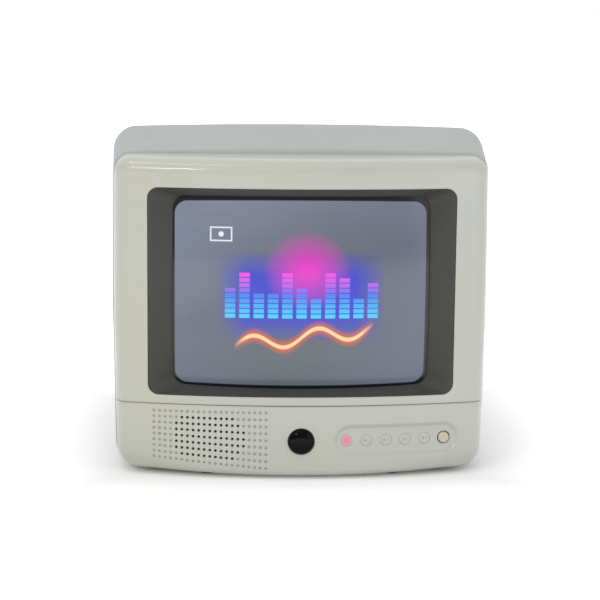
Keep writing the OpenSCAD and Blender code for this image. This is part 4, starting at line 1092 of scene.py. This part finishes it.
def hood_openings():
    """What is cut out of the rear cabinet: grip, vents, screw wells and socket openings."""
    blocks = [box_rows(-GRIP_HW, GRIP_HW, GRIP_D0, GRIP_D1, GRIP_Z, HOOD_TOP + 20 * MM)]
    for side in (-1, 1):
        # Upright vents in the back
        for i in range(10):
            blocks.append(slot_rows(side * (24 + 7 * i) * MM, 1.5 * MM, REAR_D - 24 * MM, REAR_D + PAST,
                                    TUBE_Z + 8 * MM, TUBE_Z + 44 * MM))
        # Vents across the sloping top
        for i in range(9):
            blocks.append(slot_rows(side * (7 + 13 * i) * MM, 1.75 * MM, TAPER_D + 14 * MM,
                                    GRIP_D0 - 12 * MM, HOOD_TOP - 40 * MM, HOOD_TOP + PAST))
    # Vents underneath
    for i in range(-4, 5):
        blocks.append(box_rows((18 * i - 2) * MM, (18 * i + 2) * MM, TAPER_D + 10 * MM, REAR_D - 79 * MM,
                               -1 * MM, BOTTOM + WALL + 1 * MM))
    for x, z in well_places():
        blocks.append(rod_rows(x, z, WELL_R, WELL_D0, REAR_D + PAST))
    low, high = (Vector(p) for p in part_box("aerial_socket"))
    blocks.append(rear_hole((low.x + high.x) / 2, (low.z + high.z) / 2,
                            (high.x - low.x) / 2 + SOCKET_GAP))
    blocks.append(rear_hole(-28 * MM, 22.6 * MM, 4.3 * MM))
    blocks.append(rear_hole(-72 * MM, 34 * MM, 6.3 * MM))
    low, high = (Vector(p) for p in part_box("scart_socket"))
    blocks.append(box_rows(low.x - SOCKET_GAP, high.x + SOCKET_GAP, REAR_D - SOCKET_WALL, REAR_D + PAST,
                           high.z - 16.3 * MM, high.z + SOCKET_GAP))
    return blocks


def hollowed(shell, tools):
    """The shell's mesh with the tools cut out of it; the shell and tools are removed."""
    for tool in tools:
        cut = shell.modifiers.new(tool.name, "BOOLEAN")
        cut.operation = "DIFFERENCE"
        cut.solver = "MANIFOLD"
        cut.object = tool
    graph = bpy.context.evaluated_depsgraph_get()
    mesh = bpy.data.meshes.new_from_object(shell.evaluated_get(graph))
    for thing in (*tools, shell):
        bpy.data.objects.remove(thing)
    return mesh


def hood():
    """The rear cabinet, hollow, with the walls of its grip and screw wells."""
    depths = sorted(set(HOOD_SECTIONS[:, 0]) | set(np.linspace(FRAME_D + 6 * MM, REAR_D - 12 * MM, 40)))
    shell = solid("rear_shell", [[hood_ring(d, 0) for d in depths]])
    inner = [hood_ring(d, WALL + 1.5 * MM * max(0, 1 - (d - FRAME_D) / (6 * MM)))
             for d in depths if d < REAR_D - WALL]
    inner[0] = [(x, at(FRAME_D - 1 * MM), z) for x, _, z in inner[0]]
    tools = [solid("cut_inside", [inner]), solid("cut_openings", hood_openings())]
    b = Builder()
    b.bm.from_mesh(hollowed(shell, tools))
    # Walls of the grip's well, closed below
    floor = [(-GRIP_HW, at(GRIP_D0), GRIP_Z), (GRIP_HW, at(GRIP_D0), GRIP_Z),
             (GRIP_HW, at(GRIP_D1), GRIP_Z), (-GRIP_HW, at(GRIP_D1), GRIP_Z)]
    rims = [GRIP_D0, GRIP_D0, GRIP_D1, GRIP_D1]
    top = [(x, y, hood_at(d, TOP_COLUMN) - CROWN - 0.5 * WALL) for (x, y, _), d in zip(floor, rims)]
    b.grid([top, floor], closed=True, capped=(False, True))
    for x, z in well_places():
        tube = rod_rows(x, z, WELL_R + 0.05 * MM, WELL_D0, REAR_D - 30 * MM)
        b.grid(tube[::-1], closed=True, capped=(False, True))
    return b.finish("rear_shell", MATERIALS["rear_plastic"], "cabinet", 32)


pieces = {
    "front_cabinet": front_frame(),
    "lower_fascia": fascia(),
    "screen_surround": surround(),
    "crt_panel": screen_face(),
    "rear_cabinet": hood(),
    "ir_window": dome(),
    "power_button": power_cap(),
}
BUTTONS = {"program_down": 1, "program_up": 2, "volume_down": 3, "volume_up": 4}
for name, k in BUTTONS.items():
    pieces[name + "_button"] = cap(name + "_cap", control_at(k), "button_plastic", name)
pieces["standby_lamp"] = cap("lamp_cap", control_at(0), "lamp_lens", "cabinet")
for node_name, piece in pieces.items():
    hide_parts(node_name)


# ---- stage

WORLD_LEVEL = 0.67
ROOM_LEVEL = 0.35


def pale_floor():
    """Floor that keeps the set's shadow and fades to white away from it."""
    n = Nodes("floor")
    path = n.tree.nodes.new("ShaderNodeLightPath")
    seen = n.math("MAXIMUM", path.outputs["Is Camera Ray"], path.outputs["Is Glossy Ray"])
    seen = n.math("MAXIMUM", seen, path.outputs["Is Transmission Ray"])
    x, y, _ = n.split()
    out = n.math("MAXIMUM", n.math("SUBTRACT", n.math("ABSOLUTE", x), HOOD_HW),
                 n.math("SUBTRACT", n.math("ABSOLUTE", y), -FRONT_Y))
    near = n.mix(seen, (0.85, 0.85, 0.85), (0.95, 0.95, 0.95))
    n.set(Base_Color=near, Roughness=0.9, Specular_IOR_Level=0.0, Emission_Color=(1.0, 1.0, 1.0),
          Emission_Strength=n.math("MULTIPLY", n.span(out, -0.04, 0.2, 0, 1), seen))
    bm = bmesh.new()
    bmesh.ops.create_grid(bm, x_segments=2, y_segments=2, size=4)
    mesh = bpy.data.meshes.new("floor")
    bm.to_mesh(mesh)
    bm.free()
    mesh.materials.append(n.material)
    floor = bpy.data.objects.new("floor", mesh)
    bpy.context.collection.objects.link(floor)


def studio_light():
    """Even light all round; reflections see a white backdrop behind and a dimmer room in front."""
    world = bpy.data.worlds.new("studio")
    bpy.context.scene.world = world
    world.use_nodes = True
    tree = world.node_tree
    path = tree.nodes.new("ShaderNodeLightPath")
    coords = tree.nodes.new("ShaderNodeTexCoord")
    axes = tree.nodes.new("ShaderNodeSeparateXYZ")
    tree.links.new(coords.outputs["Generated"], axes.inputs[0])

    def node(kind, operation, *values):
        made = tree.nodes.new(kind)
        if operation:
            made.operation = operation
        for socket, value in zip(made.inputs, values):
            if isinstance(value, bpy.types.NodeSocket):
                tree.links.new(value, socket)
            else:
                socket.default_value = value
        return made.outputs[0]

    room = node("ShaderNodeMapRange", None, axes.outputs[1], -0.5, 0.3, ROOM_LEVEL, 1.0)
    seen = node("ShaderNodeMath", "MAXIMUM",
                path.outputs["Is Camera Ray"], path.outputs["Is Transmission Ray"])
    plain = node("ShaderNodeMapRange", None, seen, 0, 1, WORLD_LEVEL, 1.0)
    reflected = node("ShaderNodeMath", "MULTIPLY", room, path.outputs["Is Glossy Ray"])
    direct = node("ShaderNodeMath", "MULTIPLY", plain,
                  node("ShaderNodeMath", "SUBTRACT", 1.0, path.outputs["Is Glossy Ray"]))
    level = node("ShaderNodeMath", "ADD", reflected, direct)
    tree.links.new(level, tree.nodes["Background"].inputs["Strength"])
    tree.nodes["Background"].inputs["Color"].default_value = (1, 1, 1, 1)


def lamp(name, place, target, size, power):
    data = bpy.data.lights.new(name, "AREA")
    data.shape = "RECTANGLE"
    data.size, data.size_y = size
    data.energy = power
    light = bpy.data.objects.new(name, data)
    light.location = place
    aim = Vector(target) - Vector(place)
    light.rotation_euler = aim.to_track_quat("-Z", "Y").to_euler()
    bpy.context.collection.objects.link(light)


def camera():
    """The main view: from slightly above and to the left of the set."""
    azimuth, elevation, roll = (math.radians(a) for a in (2.5, 9.6, 0.57))
    target = Vector((-2 * MM, at(0), 141 * MM))
    forward = Vector((math.sin(azimuth) * math.cos(elevation),
                      math.cos(azimuth) * math.cos(elevation), -math.sin(elevation)))
    right = Vector((math.cos(azimuth), -math.sin(azimuth), 0))
    up = right.cross(forward)
    across = right * math.cos(roll) + up * math.sin(roll)
    upward = up * math.cos(roll) - right * math.sin(roll)
    data = bpy.data.cameras.new("camera")
    data.sensor_fit = "HORIZONTAL"
    data.angle = math.radians(18.5)
    view = bpy.data.objects.new("camera", data)
    turn = Matrix((across, upward, -forward)).transposed().to_4x4()
    distance = 1.4
    view.matrix_world = Matrix.Translation(target - forward * distance) @ turn
    bpy.context.collection.objects.link(view)
    bpy.context.scene.camera = view


pale_floor()
studio_light()
lamp("key", (-0.78, -1.5, 0.95), (0, 0, 0.12), (0.55, 0.1), 5)
lamp("fill", (1.4, -1.4, 0.6), (0, 0, 0.12), (1.2, 1.2), 4)
lamp("strip", (-0.5, -0.55, 1.6), (0, -0.1, 0.25), (0.7, 0.05), 2)
camera()
bpy.context.scene.view_settings.view_transform = "Standard"
